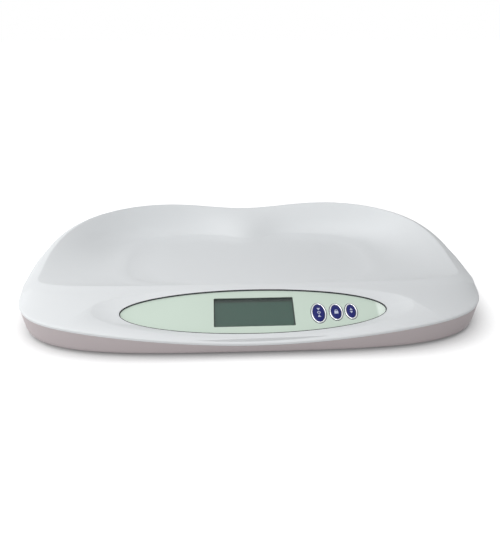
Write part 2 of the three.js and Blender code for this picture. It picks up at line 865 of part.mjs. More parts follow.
// The frame under the glass, with a slot for the contact strip
const zebraY = glassHeight / 2 - zebraWidth;
const frameOutline = roundedRectangle(0, 0, glassLength + 2 * frameBar, glassHeight + frameBar, windowCorner);
const lcdFrame = shape(slab(frameOutline, frameTop - frameHeight, frameTop), {
  cut: [
    boxBetween(0, -zebraWidth, boardTop - gap, frameTop + gap, windowLength - frameBar, windowHeight - frameBar),
    boxBetween(0, zebraY, boardTop - gap, frameTop + gap, zebraLength + 2 * gap, zebraWidth + 2 * gap),
  ],
});
put("lcd_frame", lcdFrame, frameFinish, panel);
put(
  "contact_strip",
  boxBetween(0, zebraY, boardTop + gap, glassTop - glassThickness - gap, zebraLength, zebraWidth),
  zebraFinish,
  panel,
);

// Board
const boardOutline = roundedRectangle(boardCentre, 0, boardLength, 2 * boardHalfHeight, boardCorner);
const board = shape(slab(boardOutline, boardBottom, boardTop), {
  cut: boardPostTable.map((post) =>
    roundBetween(post.x, post.y, boardBottom - gap, boardTop + gap, boardScrewRadius + gap, smallFaces),
  ),
});
put("main_board", board, boardFinish, panel);
const boardPartsTop = boardBottom - gap;
put(
  "processor_chip",
  boxBetween(chipX, chipY, boardPartsTop - chipHeight, boardPartsTop, chipSize, chipSize),
  chipFinish,
  panel,
);
const buzzer = shape(
  roundBetween(buzzerX, buzzerY, boardPartsTop - buzzerHeight, boardPartsTop, buzzerRadius, smallFaces),
  { cut: [roundBetween(buzzerX, buzzerY, -scaleDepth, boardPartsTop - buzzerHeight / 2, plungerRadius, smallFaces)] },
);
put("buzzer", buzzer, chipFinish, panel);
const connectorFace = boardPartsTop - connectorHeight;
put(
  "lead_connector",
  boxBetween(connectorX, connectorY, connectorFace, boardPartsTop, connectorLength, connectorDepth),
  connectorFinish,
  panel,
);

// A pan-head screw that points along +Z with its head below the given seat height.
function screw(x, y, seat, radius, headRadius, headHeight, length) {
  const profile = [
    [0, seat - headHeight],
    [headRadius * screwTaperShare, seat - headHeight],
    [headRadius, seat],
    [radius, seat],
    [radius, seat + length - radius],
    [0, seat + length],
  ];
  const slotWidth = headRadius * slotWidthShare;
  const slot = boxBetween(0, 0, seat - 2 * headHeight, seat - headHeight / 2, 4 * slotWidth, slotWidth);
  return shape(turned(profile, smallFaces), { cut: [slot, slot.clone().rotateZ(Math.PI / 2)] }).translate(x, y, 0);
}
boardPostTable.forEach((post, i) => {
  const geometry = screw(
    post.x,
    post.y,
    boardBottom - gap,
    boardScrewRadius,
    boardScrewHead,
    boardScrewHeadHeight,
    boardScrewLength,
  );
  put(`board_screw_${i + 1}`, geometry, steelFinish, panel);
});

// Buttons: a crowned cap, a flange that keeps it in its hole, and a bezel round it on the overlay
const flangeTop = panelBack - gap;
const flangeBottom = flangeTop - buttonFlangeHeight;
const plungerTop = flangeBottom - gap;
const switchTop = plungerTop - plungerLength / 2;
for (const button of buttonTable) {
  const cap = crownShares.map(([rise, spread]) =>
    oval(button.x, button.y, button.halfWidth * spread, button.halfHeight * spread, 1, roundFaces).map(
      (p) => new THREE.Vector3(p.x, p.y, buttonCrown * rise),
    ),
  );
  const straight = buttonOutline(button, 0);
  const wide = buttonOutline(button, buttonFlange);
  const at = (outline, z) => outline.map((p) => new THREE.Vector3(p.x, p.y, z));
  const rows = [...cap, at(straight, flangeTop), at(wide, flangeTop), at(wide, flangeBottom)];
  put(button.name, skin(rows.reverse()), buttonFinish, panel);

  const inner = (z, grow) => at(buttonOutline(button, slideGap + grow), z);
  const ring = [
    inner(pocketFloor + gap, 0),
    inner(pocketFloor + gap, bezelWidth),
    inner(bezelRise / 2, bezelWidth),
    inner(bezelRise, bezelWidth / 2),
    inner(bezelRise / 2, 0),
  ];
  put(`${button.name}_bezel`, closedBand(ring), chromeFinish, panel);

  const body = shape(
    boxBetween(button.x, button.y, boardTop + gap, switchTop, switchSize, switchSize),
    {
      cut: [
        roundBetween(
          button.x,
          button.y,
          plungerTop - plungerLength - buttonCrown,
          plungerTop,
          plungerRadius + gap,
          smallFaces,
        ),
      ],
    },
  );
  put(`${button.name}_switch`, body, chipFinish, panel);
  put(
    `${button.name}_plunger`,
    roundBetween(button.x, button.y, plungerTop - plungerLength, plungerTop, plungerRadius, smallFaces),
    connectorFinish,
    panel,
  );
}

// A ring-shaped skin: rows of points in order round its section, the last joined to the first.
function closedBand(rows) {
  const count = rows[0].length;
  const positions = rows.flat().flatMap((p) => [p.x, p.y, p.z]);
  const index = [];
  for (let row = 0; row < rows.length; row++) {
    const next = (row + 1) % rows.length;
    for (let i = 0; i < count; i++) {
      const j = (i + 1) % count;
      index.push(row * count + i, row * count + j, next * count + i);
      index.push(row * count + j, next * count + j, next * count + i);
    }
  }
  const geometry = new THREE.BufferGeometry();
  geometry.setAttribute("position", new THREE.Float32BufferAttribute(positions, 3));
  geometry.setIndex(index);
  return geometry;
}

// Feet: a rubber pad in a housing that presses on the tongue of a steel weighing plate
for (const foot of feet) {
  const pad = turned([
    [0, 0],
    [padRadius - padEdge, 0],
    [padRadius, padEdge],
    [padRadius, padHeight],
    [0, padHeight],
  ]);
  put(`foot_pad_${foot.name}`, pad.translate(foot.x, foot.y, 0), rubberFinish);

  const housingTop = housingBottom + housingFlangeHeight;
  const housing = turned([
    [0, padHeight + gap],
    [padRadius + gap, padHeight + gap],
    [padRadius + gap, housingBottom],
    [housingRadius, housingBottom],
    [housingRadius, housingTop],
    [housingBossRadius + wall, housingTop],
    [housingBossRadius, sensorBottom - gap],
    [0, sensorBottom - gap],
  ]);
  put(`foot_housing_${foot.name}`, housing.translate(foot.x, foot.y, 0), baseFinish);

  put(`load_plate_${foot.name}`, loadPlate(foot), steelFinish);
}

// A weighing plate: a square of steel with a slot round three sides of its tongue.
function loadPlate({ x, y }) {
  const inner = sensorTongue / 2;
  const outer = inner + sensorSlot;
  const far = sensorSize / 2 - 2 * sensorSlot;
  const near = -far;
  const slot = [
    [-outer, near],
    [-inner, near],
    [-inner, far - sensorSlot],
    [inner, far - sensorSlot],
    [inner, near],
    [outer, near],
    [outer, far],
    [-outer, far],
  ].map(([u, v]) => new THREE.Vector2(x + u, y + v));
  const outline = roundedRectangle(x, y, sensorSize, sensorSize, sensorCorner);
  return slab(outline, sensorBottom, sensorBottom + sensorThickness, [slot]);
}

// Cells side by side, each the other way round
const cellFirstX = (-(cellCount - 1) / 2) * cellPitch;
for (let i = 0; i < cellCount; i++) {
  const half = cellLength / 2;
  const profile = [
    [0, -half],
    [cellRadius - cellEdge, -half],
    [cellRadius, -half + cellEdge],
    [cellRadius, half - cellNubLength - cellEdge],
    [cellRadius - cellEdge, half - cellNubLength],
    [cellNubRadius, half - cellNubLength],
    [cellNubRadius, half],
    [0, half],
  ];
  const way = i % 2 === 0 ? 1 : -1;
  const cell = turned(profile, smallFaces).rotateX((way * Math.PI) / 2);
  put(`battery_${i + 1}`, cell.translate(cellFirstX + i * cellPitch, bayCentreY, cellAxis), cellFinish);
}

// Bent strips at the bay's ends: bridges between two cells and single terminals
function contact(x, width, way) {
  const back = way * (bayLength / 2 - gap);
  const section = [
    [0, -contactHeight / 2],
    [0, -contactHeight / 4],
    [contactReach - contactThickness, 0],
    [0, contactHeight / 4],
    [0, contactHeight / 2],
    [contactThickness, contactHeight / 2],
    [contactThickness, contactHeight / 4],
    [contactReach, 0],
    [contactThickness, -contactHeight / 4],
    [contactThickness, -contactHeight / 2],
  ].map(([out, up]) => new THREE.Vector2(out, up));
  return new THREE.ExtrudeGeometry(new THREE.Shape(section), { depth: width, bevelEnabled: false })
    .translate(0, 0, -width / 2)
    .rotateX(Math.PI / 2)
    .rotateZ((-way * Math.PI) / 2)
    .translate(x, bayCentreY + back, cellAxis);
}
const bridgeWidth = cellPitch + contactWidth;
put("contact_rear_left", contact(-cellPitch, bridgeWidth, 1), steelFinish);
put("contact_rear_right", contact(cellPitch, bridgeWidth, 1), steelFinish);
put("contact_front_middle", contact(0, bridgeWidth, -1), steelFinish);
put("contact_front_plus", contact(batteryLeadX, contactWidth, -1), steelFinish);
put("contact_front_minus", contact(-batteryLeadX, contactWidth, -1), steelFinish);

// The battery door turns on two pins along its rear edge
const doorPlate = boxBetween(
  0,
  (doorFrontY + hingeY) / 2,
  baseHeight,
  baseHeight + doorThickness,
  doorWidth,
  hingeY - doorFrontY,
);
const door = shape(doorPlate, {
  add: [
    alongX(doorBarrelRadius, doorWidth, 0, hingeY, hingeZ),
    alongX(doorPinRadius, doorWidth + 2 * doorPinLength, 0, hingeY, hingeZ),
  ],
  cut: [
    alongX(fingerDepth, fingerWidth, 0, doorFrontY + doorOverlap, baseHeight),
    alongX(fingerDepth / 2, fingerWidth, 0, doorFrontY + 2 * doorOverlap, baseHeight),
  ],
});
put("battery_door", door, baseFinish);

// Case screws
caseScrews.forEach(({ x, y }, i) => {
  const geometry = screw(
    x,
    y,
    caseScrewSeat - gap,
    caseScrewRadius,
    caseScrewHead,
    caseScrewHeadHeight,
    caseScrewLength,
  );
  put(`case_screw_${i + 1}`, geometry, steelFinish);
});

// Leads: along the bottom of the base, then up to the connector under the board
const leadZ = plateTop + leadLift + leadRadius;
const slotX = (slotIndex) => connectorX + (slotIndex - 2) * connectorPitch;
const leadEnd = (slotIndex, out) =>
  new THREE.Vector3(slotX(slotIndex), connectorY, connectorFace - gap - out).applyMatrix4(panelMatrix);

function lead(name, slotIndex, ends, steps) {
  const halfDepth = scaleDepth / 2;
  const { drop, bends } = leadShares[name];
  const points = [
    leadEnd(slotIndex, 0),
    leadEnd(slotIndex, leadDrop),
    new THREE.Vector3(slotX(slotIndex), drop * halfDepth, leadZ + leadHump),
    ...bends.map(([x, y]) => new THREE.Vector3(x * footX, y * halfDepth, leadZ)),
    ...ends,
  ];
  const path = new THREE.CatmullRomCurve3(points, false, "centripetal");
  const section = oval(0, 0, leadRadius, leadRadius, 1, leadSides);
  const tube = new THREE.ExtrudeGeometry(new THREE.Shape(section), { steps, extrudePath: path });
  put(`lead_${name}`, tube, leadFinish);
}

const plateEdge = footX - sensorSize / 2 - gap;
const plateEnds = ({ x, y }) => [
  new THREE.Vector3(Math.sign(x) * (plateEdge - 2 * wall), y, sensorMiddle),
  new THREE.Vector3(Math.sign(x) * plateEdge, y, sensorMiddle),
];
const bayEnds = [
  new THREE.Vector3(batteryLeadX + leadTurn, bayFrontY - 2 * leadTurn, (leadZ + cellAxis) / 2),
  new THREE.Vector3(batteryLeadX, bayFrontY - 4 * bayWall, cellAxis),
  new THREE.Vector3(batteryLeadX, bayFrontY, cellAxis),
];
lead("front_left", 0, plateEnds(feet[0]), 16);
lead("rear_left", 1, plateEnds(feet[2]), 18);
lead("battery", 2, bayEnds, 11);
lead("rear_right", 3, plateEnds(feet[3]), 12);
lead("front_right", 4, plateEnds(feet[1]), 11);

export default scale;
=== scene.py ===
"""Looks of a digital baby weighing scale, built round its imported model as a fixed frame."""

import math

import bmesh
import bpy
import numpy as np
from bpy.props import FloatProperty, FloatVectorProperty, IntProperty, PointerProperty
from mathutils import Matrix, Vector
from mathutils.bvhtree import BVHTree


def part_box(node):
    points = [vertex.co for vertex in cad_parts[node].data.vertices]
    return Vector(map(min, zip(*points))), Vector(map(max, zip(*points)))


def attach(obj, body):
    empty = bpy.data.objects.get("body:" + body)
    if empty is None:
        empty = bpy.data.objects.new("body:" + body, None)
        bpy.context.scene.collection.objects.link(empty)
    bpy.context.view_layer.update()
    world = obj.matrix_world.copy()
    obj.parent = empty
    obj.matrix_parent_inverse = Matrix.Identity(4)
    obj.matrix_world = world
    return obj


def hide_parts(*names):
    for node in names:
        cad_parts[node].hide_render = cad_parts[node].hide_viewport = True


bl_info = {
    "name": "Baby weighing scale",
    "version": (1, 0, 0),
    "blender": (4, 5, 0),
    "location": "3D View > Sidebar > Baby scale",
    "description": "Pieces, finishes and stage of a digital baby weighing scale",
    "category": "Object",
}

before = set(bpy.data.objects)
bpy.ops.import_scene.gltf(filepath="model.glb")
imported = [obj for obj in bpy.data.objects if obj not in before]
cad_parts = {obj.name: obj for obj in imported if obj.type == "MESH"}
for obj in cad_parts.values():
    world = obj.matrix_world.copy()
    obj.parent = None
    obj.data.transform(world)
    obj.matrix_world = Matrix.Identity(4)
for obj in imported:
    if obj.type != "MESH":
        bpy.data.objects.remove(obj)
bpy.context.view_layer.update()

MM = 0.001
ROOT = "housing"

# Overall sizes of the scale, in millimetres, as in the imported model
SCALE_LENGTH = 560.0
SCALE_DEPTH = 326.0
RIM_HEIGHT = 87.0
RIM_DIP = 12.0
RIM_DIP_SPREAD = 86.0
CREASE_HEIGHT = 51.0
WAIST_HEIGHT = 34.2
WAIST_FRONT_DROP = 16.6
WAIST_DROP_POWER = 2.8
BED_HEIGHT = 38.0
BASE_HEIGHT = 4.0
WALL = 3.0
BASE_WALL = 2.5
GAP = 0.3
SLIDE_GAP = 0.4
OVERRUN = 5.0
MERGE = 0.0001
FLAT_ANGLE = math.radians(0.5)
WAIST_CENTRE = -4.0
LIP_HEIGHT = 3.6
LIP_INSET = 1.0
FOOT_INSET = 4.7
RIM_FLARE_SIDE = 12.2
RIM_FLARE_BACK = 4.0
RIM_WIDTH = 9.0
RIM_CENTRE_SHARE = 0.333
SHOULDER_RUN = 10.2
SHOULDER_DROP = 3.8
CREASE_FRONT = -77.9
SLOPE_BULGE = 3.5
BACK_BULGE_SHARE = 0.3
SHOULDER_FRONT_SHARE = 0.42
WALL_RUN_SIDE = 53.0
WALL_RUN_FRONT = 11.0
WALL_RUN_BACK = 15.0
WALL_FOOT_RISE = 1.4
BED_HALF_LENGTH = 150.0
BED_FRONT_INSET = 22.2
BED_BACK = 114.0
BED_STEP_RUN = 15.0
BED_STEP_RISE = 2.6
BED_STEP_SHARES = (0.33, 0.8)  # to the front, to the back
BED_INNER_SHARE = 0.86
NOTCH_DEPTH = 21.0
NOTCH_SPREAD = 40.0
RING_CENTRE = 22.0
SECTION_SPREAD = 0.86

# Display panel: tilt and place of its face, and the sizes of what lies in it
PANEL_TILT = math.radians(23)
PANEL_PLACE = (0.0, -119.6, 34.3)
DISH_HALF = (184.0, 40.1)
DISH_SHIFT = -0.4
DISH_POWER = 0.9
DISH_LIP = 1.5
DISH_MARGIN = 1.4
OVERLAY_HALF = (152.0, 32.5)
OVERLAY_THICKNESS = 0.8
OVERLAY_POWER = 1.0
FILM_STEPS = 192
FILM_EDGE = 0.12
PANEL_WALL = 3.0
BACKING_HALF = (179.5, 39.5)
BACKING_TOP = 9.0
WINDOW = (91.9, 42.9)
WINDOW_CORNER = 1.2
# Painted shade along the display's edges, for the shadow of the window's wall:
DISPLAY_EDGE_SHADE = (1.3, 2.0, -1.5)  # at the sides, above and below, and how far the middle is shifted
GLASS = (98.9, 49.9)
DISH_EDGE = (2.4, 0.9)  # how far inwards, how deep
DISH_CLEAR = 0.15
POCKET_CHAMFER = 0.5
GAP_SHADE_RISE = 1.9
LENS_THICKNESS = 1.2
GLASS_THICKNESS = 2.8
FRAME_HEIGHT = 4.6
BOARD_THICKNESS = 1.6
PANEL_MATRIX = Matrix.Translation(PANEL_PLACE) @ Matrix.Rotation(PANEL_TILT, 4, "X")
POCKET_FLOOR = -OVERLAY_THICKNESS - GAP
PANEL_BACK = POCKET_FLOOR - PANEL_WALL
LENS_TOP = POCKET_FLOOR
GLASS_TOP = LENS_TOP - LENS_THICKNESS - GAP
FRAME_TOP = GLASS_TOP - GLASS_THICKNESS - GAP
BOARD_TOP = FRAME_TOP - FRAME_HEIGHT - GAP
BOARD_BOTTOM = BOARD_TOP - BOARD_THICKNESS
BOARD_POSTS = ((-60.85, 21.4), (-60.85, -21.4), (121.91, 0.0))
POST_RADIUS = 3.3
BOARD_SCREW_RADIUS = 1.25
BOARD_SCREW_LENGTH = 6.0
BOARD_SCREW_HEAD = (2.7, 1.6)  # radius, height

# Section of the thin black ring round the film, painted shade that stands for the shadow in its gap: how far
# out from the film's edge, and how high over its face
GAP_SHADE_SECTION = (
    (0.1, POCKET_FLOOR + FILM_EDGE), (0.34, POCKET_FLOOR + FILM_EDGE), (0.34, GAP_SHADE_RISE - FILM_EDGE),
    (0.25, GAP_SHADE_RISE), (0.15, GAP_SHADE_RISE - FILM_EDGE), (0.05, 0.5), (-0.4, 0.25), (-0.4, 0.05), (0.1, 0.05),
)

# Buttons: name, place along the panel, place up the slope, half width, half height
BUTTONS = (
    ("tare_button", 73.63, -4.29, 6.57, 12.55),
    ("hold_button", 93.74, -3.28, 5.58, 10.27),
    ("unit_button", 111.11, -2.63, 4.99, 9.56),
)
BUTTON_STEPS = 72
BUTTON_SIDE = 0.45
BUTTON_CROWN = 1.3
BUTTON_ARC = 0.48 * math.pi
BUTTON_ARC_STEPS = 12
BUTTON_FULLNESS = 0.8
BUTTON_FLANGE = 1.4
BUTTON_FLANGE_HEIGHT = 1.0
BEZEL_WIDTH = 1.6
BEZEL_FOOT = 0.1
BEZEL_RISE = 0.9
BEZEL_STEPS = 13
# Width of a ring of painted shade on the film round each bezel
BEZEL_GAP_SHADE = 0.5
ICON_RISE = 0.07
ICON_SPAN = (0.2, 2 * BUTTON_CROWN)  # lowest, highest

# Base: seats of the feet, screw wells, ribs and battery bay
TONGUE_RISE = 1.0
TONGUE_WALL = 1.4
SEAT = 43.0
SEAT_CORNER = 6.0
SEAT_TOP = 12.2
SEAT_LEDGE = 9.5
SEAT_WALL = 3.1
SENSOR = 36.0
SENSOR_BOTTOM = 9.8
FOOT_RADIUS = 19.4
PAD_RADIUS = 17.4
PAD_HEIGHT = 3.9
PAD_CHAMFER = 1.4
PAD_GROOVES = (5.0, 9.0, 13.0)
PAD_GROOVE = ((0, 0), (0.2, 0.6), (1.0, 0.6), (1.2, 0))
CUP_BOTTOM = 3.0
CUP_TOP = 8.2
CUP_CONE = (7.0, 4.0)  # radius at its foot, at its top
LEAD_RADIUS = 1.1
BOSS_RADIUS = 4.6
BOSS_SPLIT = 17.5
SCREW_RADIUS = 1.7
SCREW_HEAD = 3.4
SCREW_HEAD_HEIGHT = 2.6
SCREW_LENGTH = 17.0
SCREW_SEAT = 9.0
THREAD_SHARES = (0.8, 0.78)  # pitch and core, of the radius
HEAD_SHARES = (0.8, 0.4)  # flat top's radius and rounded height, of the head's
CROSS_SHARE = 0.3
RIB_WIDTH = 1.8
RIB_HEIGHT = 5.0
RIBS = (
    (-100.0, 42.0, RIB_WIDTH, 63.1), (100.0, 42.0, RIB_WIDTH, 63.1),
    (0.0, -94.25, 200.0, RIB_WIDTH), (0.0, 109.5, 200.0, RIB_WIDTH),
)
CELL_RADIUS = 7.25
CELL_LENGTH = 50.5
CELL_NUB = (2.7, 1.2)  # radius, height
CELL_EDGE = 0.6
CELL_RECESS = (3.2, 3.5, 0.4)  # radius of its floor, radius of its mouth, depth
CELL_GROOVE = (3.4, 3.0, 2.6, 0.25)  # start, bottom and end below the shoulder, depth
DOOR_CORNER = 0.8
BAY_CENTRE = 42.0
BAY_SIZE = (61.6, 57.1)
BAY_WALL = 2.0
BAY_ROOF = 22.0
BAY_FRAME = (77.6, 70.7, 8.4)  # width, depth, top
CELL_AXIS = 14.45
DOOR_SIZE = (67.6, 63.1, 2.4)
DOOR_FRONT = 10.45
HINGE = (73.55, 5.8)  # place along Y, height
BARREL_RADIUS = 1.8
PIN_RADIUS = 1.0
PIN_LENGTH = 3.0
FINGER = (16.0, 2.0, 3.0)  # scoop in the door's free edge: length, depth, step
BATTERY_LEAD_X = 22.95
FEET = ("front_left", "front_right", "rear_left", "rear_right")
CASE_SCREWS = [f"case_screw_{i}" for i in range(1, 7)]

# On the back of the board, in the panel's frame
CHIP_PLACE = (20.0, -8.0)
CHIP_SIZE = 14.0
CHIP_BODY = 11.6
CHIP_DOT = (0.6, 0.15)  # radius, depth
CHIP_HEIGHT = 1.4
CHIP_PITCH = 1.1
CHIP_LEG = (1.4, 0.5, 0.35)  # length, width, thickness
BUZZER_PLACE = (-38.0, 6.0)
BUZZER_SIZE = (6.0, 5.0)  # radius, height
BUZZER_TOP = ((0, 2.5), (1.7, 2.5), (1.7, 0), (4.2, 0), (4.4, 0.3), (4.9, 0.3), (5.1, 0))  # radius, depth
SOCKET_PLACE = (63.51, 19.0)
SOCKET_SIZE = (26.0, 7.0, 5.5)
SOCKET_PITCH = 4.6
SOCKET_WAY = (3.0, 3.4, 1.2)  # width, length, depth
SOCKET_SLIT = (1.2, 1.5)  # width, what is left below it

# Where a finish changes along a piece, in metres
# Range along the film where a painted highlight starts, standing for light caught at its right tip
FILM_TIP_HIGHLIGHT = (0.1405, 0.1435)
CELL_BARE = (0.0236, 0.0238)

# Stage, in metres: each lamp's name, place and width
CAMERA_SENSOR = 36
CAMERA_CLIP = (0.01, 20)
LAMPS = (
    ("side", (-1.1, 0.0, 0.55), 1.0),
    ("front", (-0.3, -1.0, 0.8), 0.7),
    ("overhead", (-0.4, -0.1, 1.1), 1.0),
)
LAMP_TARGET = (0, 0, 0.03)
FLOOR_SIZE = 6


class ScaleSizes(bpy.types.PropertyGroup):
    """How finely the shells are made."""

    rays: IntProperty(
        name="Rays", description="Sections round the shells", default=256, min=64, max=512
    )
    rounding: IntProperty(
        name="Rounding", description="Steps in each rounded edge", default=8, min=2, max=24
    )


class ScaleColours(bpy.types.PropertyGroup):
    """Colours of the finishes."""

    shell: FloatVectorProperty(
        name="Shell", description="White moulded shell", subtype="COLOR", default=(0.80, 0.82, 0.83)
    )
    button: FloatVectorProperty(
        name="Buttons", description="Navy caps", subtype="COLOR", default=(0.008, 0.013, 0.15)
    )
    # Darker and warmer than the shell: partly the base's own warm grey, partly painted shade of the
    # down-facing skirt and a painted warm reflection
    base: FloatVectorProperty(
        name="Base", description="Warm grey base", subtype="COLOR", default=(0.54, 0.48, 0.485)
    )
    overlay: FloatVectorProperty(
        name="Overlay", description="Pale green film", subtype="COLOR", default=(0.65, 0.765, 0.665)
    )


class ScaleStage(bpy.types.PropertyGroup):
    """Camera, floor and lamps."""

    camera_place: FloatVectorProperty(
        name="Camera place", description="Where the camera stands", subtype="TRANSLATION",
        unit="LENGTH", default=(-0.0375, -0.7755, 0.3590),
    )
    camera_target: FloatVectorProperty(
        name="Camera target", description="What the camera looks at", subtype="TRANSLATION",
        unit="LENGTH", default=(0.0008, -0.01035, 0.03053),
    )
    lens: FloatProperty(name="Lens", description="Focal length", unit="CAMERA", default=41.71)
    side_power: FloatProperty(
        name="Side lamp", description="Power of the lamp at the left", unit="POWER", default=4.2
    )
    front_power: FloatProperty(
        name="Front lamp", description="Power of the lamp in front", unit="POWER", default=5.2
    )
    overhead_power: FloatProperty(
        name="Overhead lamp", description="Power of the lamp above", unit="POWER", default=2.2
    )
    world_strength: FloatProperty(name="World", description="Strength of the room", default=0.37)


def superellipse(half_length, centre, front, back, front_power, back_power, notch=0.0):
    """A plan outline: half a superellipse to the front and half to the back of a centre line."""
    return {
        "half_length": half_length, "centre": centre, "front": front, "back": back,
        "front_power": front_power, "back_power": back_power, "notch": notch,
    }


WAIST = superellipse(
    SCALE_LENGTH / 2, WAIST_CENTRE, SCALE_DEPTH / 2 + WAIST_CENTRE,
    SCALE_DEPTH / 2 - WAIST_CENTRE, front_power=3.85, back_power=2.47,
)
BASE_EDGE = superellipse(
    WAIST["half_length"] - FOOT_INSET, WAIST_CENTRE, WAIST["front"] - FOOT_INSET,
    WAIST["back"] - FOOT_INSET, front_power=3.8, back_power=2.47,
)
RIM_CENTRE = RING_CENTRE - SCALE_DEPTH / 2 * RIM_CENTRE_SHARE
RIM = superellipse(
    SCALE_LENGTH / 2 - RIM_FLARE_SIDE, RIM_CENTRE, RIM_CENTRE - CREASE_FRONT,
    SCALE_DEPTH / 2 - RIM_FLARE_BACK - RIM_CENTRE, front_power=4.9, back_power=2.6,
)
INNER_RIM = dict(RIM, half_length=RIM["half_length"] - RIM_WIDTH, back=RIM["back"] - RIM_WIDTH)
OUTER_RIM = dict(RIM, front=RIM["front"] + SHOULDER_RUN)
WALL_FOOT = superellipse(
    INNER_RIM["half_length"] - WALL_RUN_SIDE, RING_CENTRE, RING_CENTRE - CREASE_FRONT - WALL_RUN_FRONT,
    RIM_CENTRE + INNER_RIM["back"] - WALL_RUN_BACK - RING_CENTRE,
    front_power=3.2, back_power=3.2, notch=NOTCH_DEPTH,
)
BED = superellipse(
    BED_HALF_LENGTH, RING_CENTRE, RING_CENTRE - CREASE_FRONT - BED_FRONT_INSET,
    BED_BACK - RING_CENTRE, front_power=3.0, back_power=3.0, notch=NOTCH_DEPTH,
)
BED_STEP = dict(
    BED, half_length=BED["half_length"] + BED_STEP_RUN,
    front=BED["front"] + BED_STEP_RUN * BED_STEP_SHARES[0],
    back=BED["back"] + BED_STEP_RUN * BED_STEP_SHARES[1],
)


def spread(value, power):
    """A power that keeps the sign."""
    return np.sign(value) * np.abs(value) ** power


def smooth_share(share):
    """A share that starts and ends gently."""
    return share * share * (3 - 2 * share)


def ray_fan(count):
    """Unit rays in plan from the common centre, one row each."""
    angle = 2 * math.pi * np.arange(count) / count
    x = spread(np.cos(angle), SECTION_SPREAD) * WAIST["half_length"]
    side = np.where(np.sin(angle) < 0, WAIST["front"], WAIST["back"])
    y = spread(np.sin(angle), SECTION_SPREAD) * side + WAIST_CENTRE - RING_CENTRE
    return np.stack([x, y], 1) / np.hypot(x, y)[:, None]


def reach(ring, rays):
    """How far an outline lies from the rays' centre, along each ray."""
    near, far = np.zeros(len(rays)), np.full(len(rays), SCALE_LENGTH)
    for _ in range(50):
        t = (near + far) / 2
        x = np.abs(rays[:, 0] * t) / ring["half_length"]
        y = RING_CENTRE + rays[:, 1] * t - ring["centre"]
        deep = np.abs(y) / np.where(y < 0, ring["front"], ring["back"])
        power = np.where(y < 0, ring["front_power"], ring["back_power"])
        beyond = x**power + deep**power > 1
        far, near = np.where(beyond, t, far), np.where(beyond, near, t)
    across = rays[:, 0] * near / NOTCH_SPREAD
    notch = np.where(rays[:, 1] < 0, 0, ring["notch"] * np.exp(-(across**2)))
    return near - notch


def lean_of(rays):
    """The cosine between each ray and the waist's own normal, which keeps a wall at full thickness."""
    turn = 0.01
    aside = rays @ np.array([[math.cos(turn), math.sin(turn)], [-math.sin(turn), math.cos(turn)]])
    chord = aside * reach(WAIST, aside)[:, None] - rays * reach(WAIST, rays)[:, None]
    chord /= np.hypot(chord[:, 0], chord[:, 1])[:, None]
    return np.abs(chord[:, 0] * rays[:, 1] - chord[:, 1] * rays[:, 0])


def waist_height(x, y):
    """The height of the waist, which drops towards the middle of the front."""
    share = np.maximum(0, 1 - (x / WAIST["half_length"]) ** 2)
    return np.where(y > 0, WAIST_HEIGHT, WAIST_HEIGHT - WAIST_FRONT_DROP * share**WAIST_DROP_POWER)


def rim_height(x, y):
    """The height of the rim: level along the crease, then up to two humps with a dip between them."""
    start = CREASE_FRONT + WALL_RUN_BACK
    end = INNER_RIM["centre"] + INNER_RIM["back"]
    share = smooth_share(np.clip((y - start) / (end - start), 0, 1))
    dip = RIM_DIP * np.exp(-((x / RIM_DIP_SPREAD) ** 2))
    return CREASE_HEIGHT + share * (RIM_HEIGHT - CREASE_HEIGHT - dip)


def section_point(t, z):
    """One point of every ray's section: how far out it lies, and how high."""
    return np.stack(np.broadcast_arrays(np.asarray(t, float), np.asarray(z, float)), -1)


def shell_section(rays):
    """Each ray's section of the upper shell, from the bed outwards, before its corners are rounded."""
    bed, inner, far = reach(BED, rays), reach(INNER_RIM, rays), reach(WAIST, rays)
    crest = rim_height(rays[:, 0] * inner, RING_CENTRE + rays[:, 1] * inner)
    front = smooth_share(np.clip(-rays[:, 1], 0, 1))
    back = smooth_share(np.clip(rays[:, 1], 0, 1))
    drop = SHOULDER_DROP * (1 - (1 - SHOULDER_FRONT_SHARE) * front)
    outer = section_point(reach(OUTER_RIM, rays), crest - drop)
    waist = section_point(far, waist_height(rays[:, 0] * far, RING_CENTRE + rays[:, 1] * far))
    fall = waist - outer
    fall /= np.hypot(fall[:, 0], fall[:, 1])[:, None]
    bulge = SLOPE_BULGE * (1 - (1 - BACK_BULGE_SHARE) * back)
    slope = (outer + waist) / 2 + np.stack([-fall[:, 1], fall[:, 0]], -1) * bulge[:, None]
    return [
        section_point(bed * BED_INNER_SHARE, np.full(len(rays), BED_HEIGHT)),
        section_point(bed, BED_HEIGHT),
        section_point(reach(BED_STEP, rays), BED_HEIGHT + BED_STEP_RISE),
        section_point(reach(WALL_FOOT, rays), BED_HEIGHT + BED_STEP_RISE + WALL_FOOT_RISE),
        section_point(inner, crest),
        outer,
        slope,
        waist,
        section_point(far - LIP_INSET, waist[:, 1] - LIP_HEIGHT),
    ]


# Rounding of each corner: shares of the legs before and after it, or nothing where it stays sharp
OUTER_ROUNDING = ((), (0.4, 0.3), (0.65, 0.72), (0.03, 0.13), (0.4, 0.2), (), (0.12, 0.4))
INNER_ROUNDING = ((), (), (0.6, 0.65), (), (), (), ())
BASE_ROUNDING = ((0.06, 0.3), (0.04, 0.12), ())
INNER_STEPS = 4


def rounded(section, shares, steps):
    """The section with a quadratic curve in place of each corner that has shares."""
    points = [section[0]]
    for before, corner, after, share in zip(section, section[1:], section[2:], shares):
        if not share:
            points.append(corner)
            continue
        start = corner + (before - corner) * share[0]
        end = corner + (after - corner) * share[1]
        for u in np.linspace(0, 1, steps + 1):
            points.append((1 - u) ** 2 * start + 2 * u * (1 - u) * corner + u * u * end)
    return points + [section[-1]]


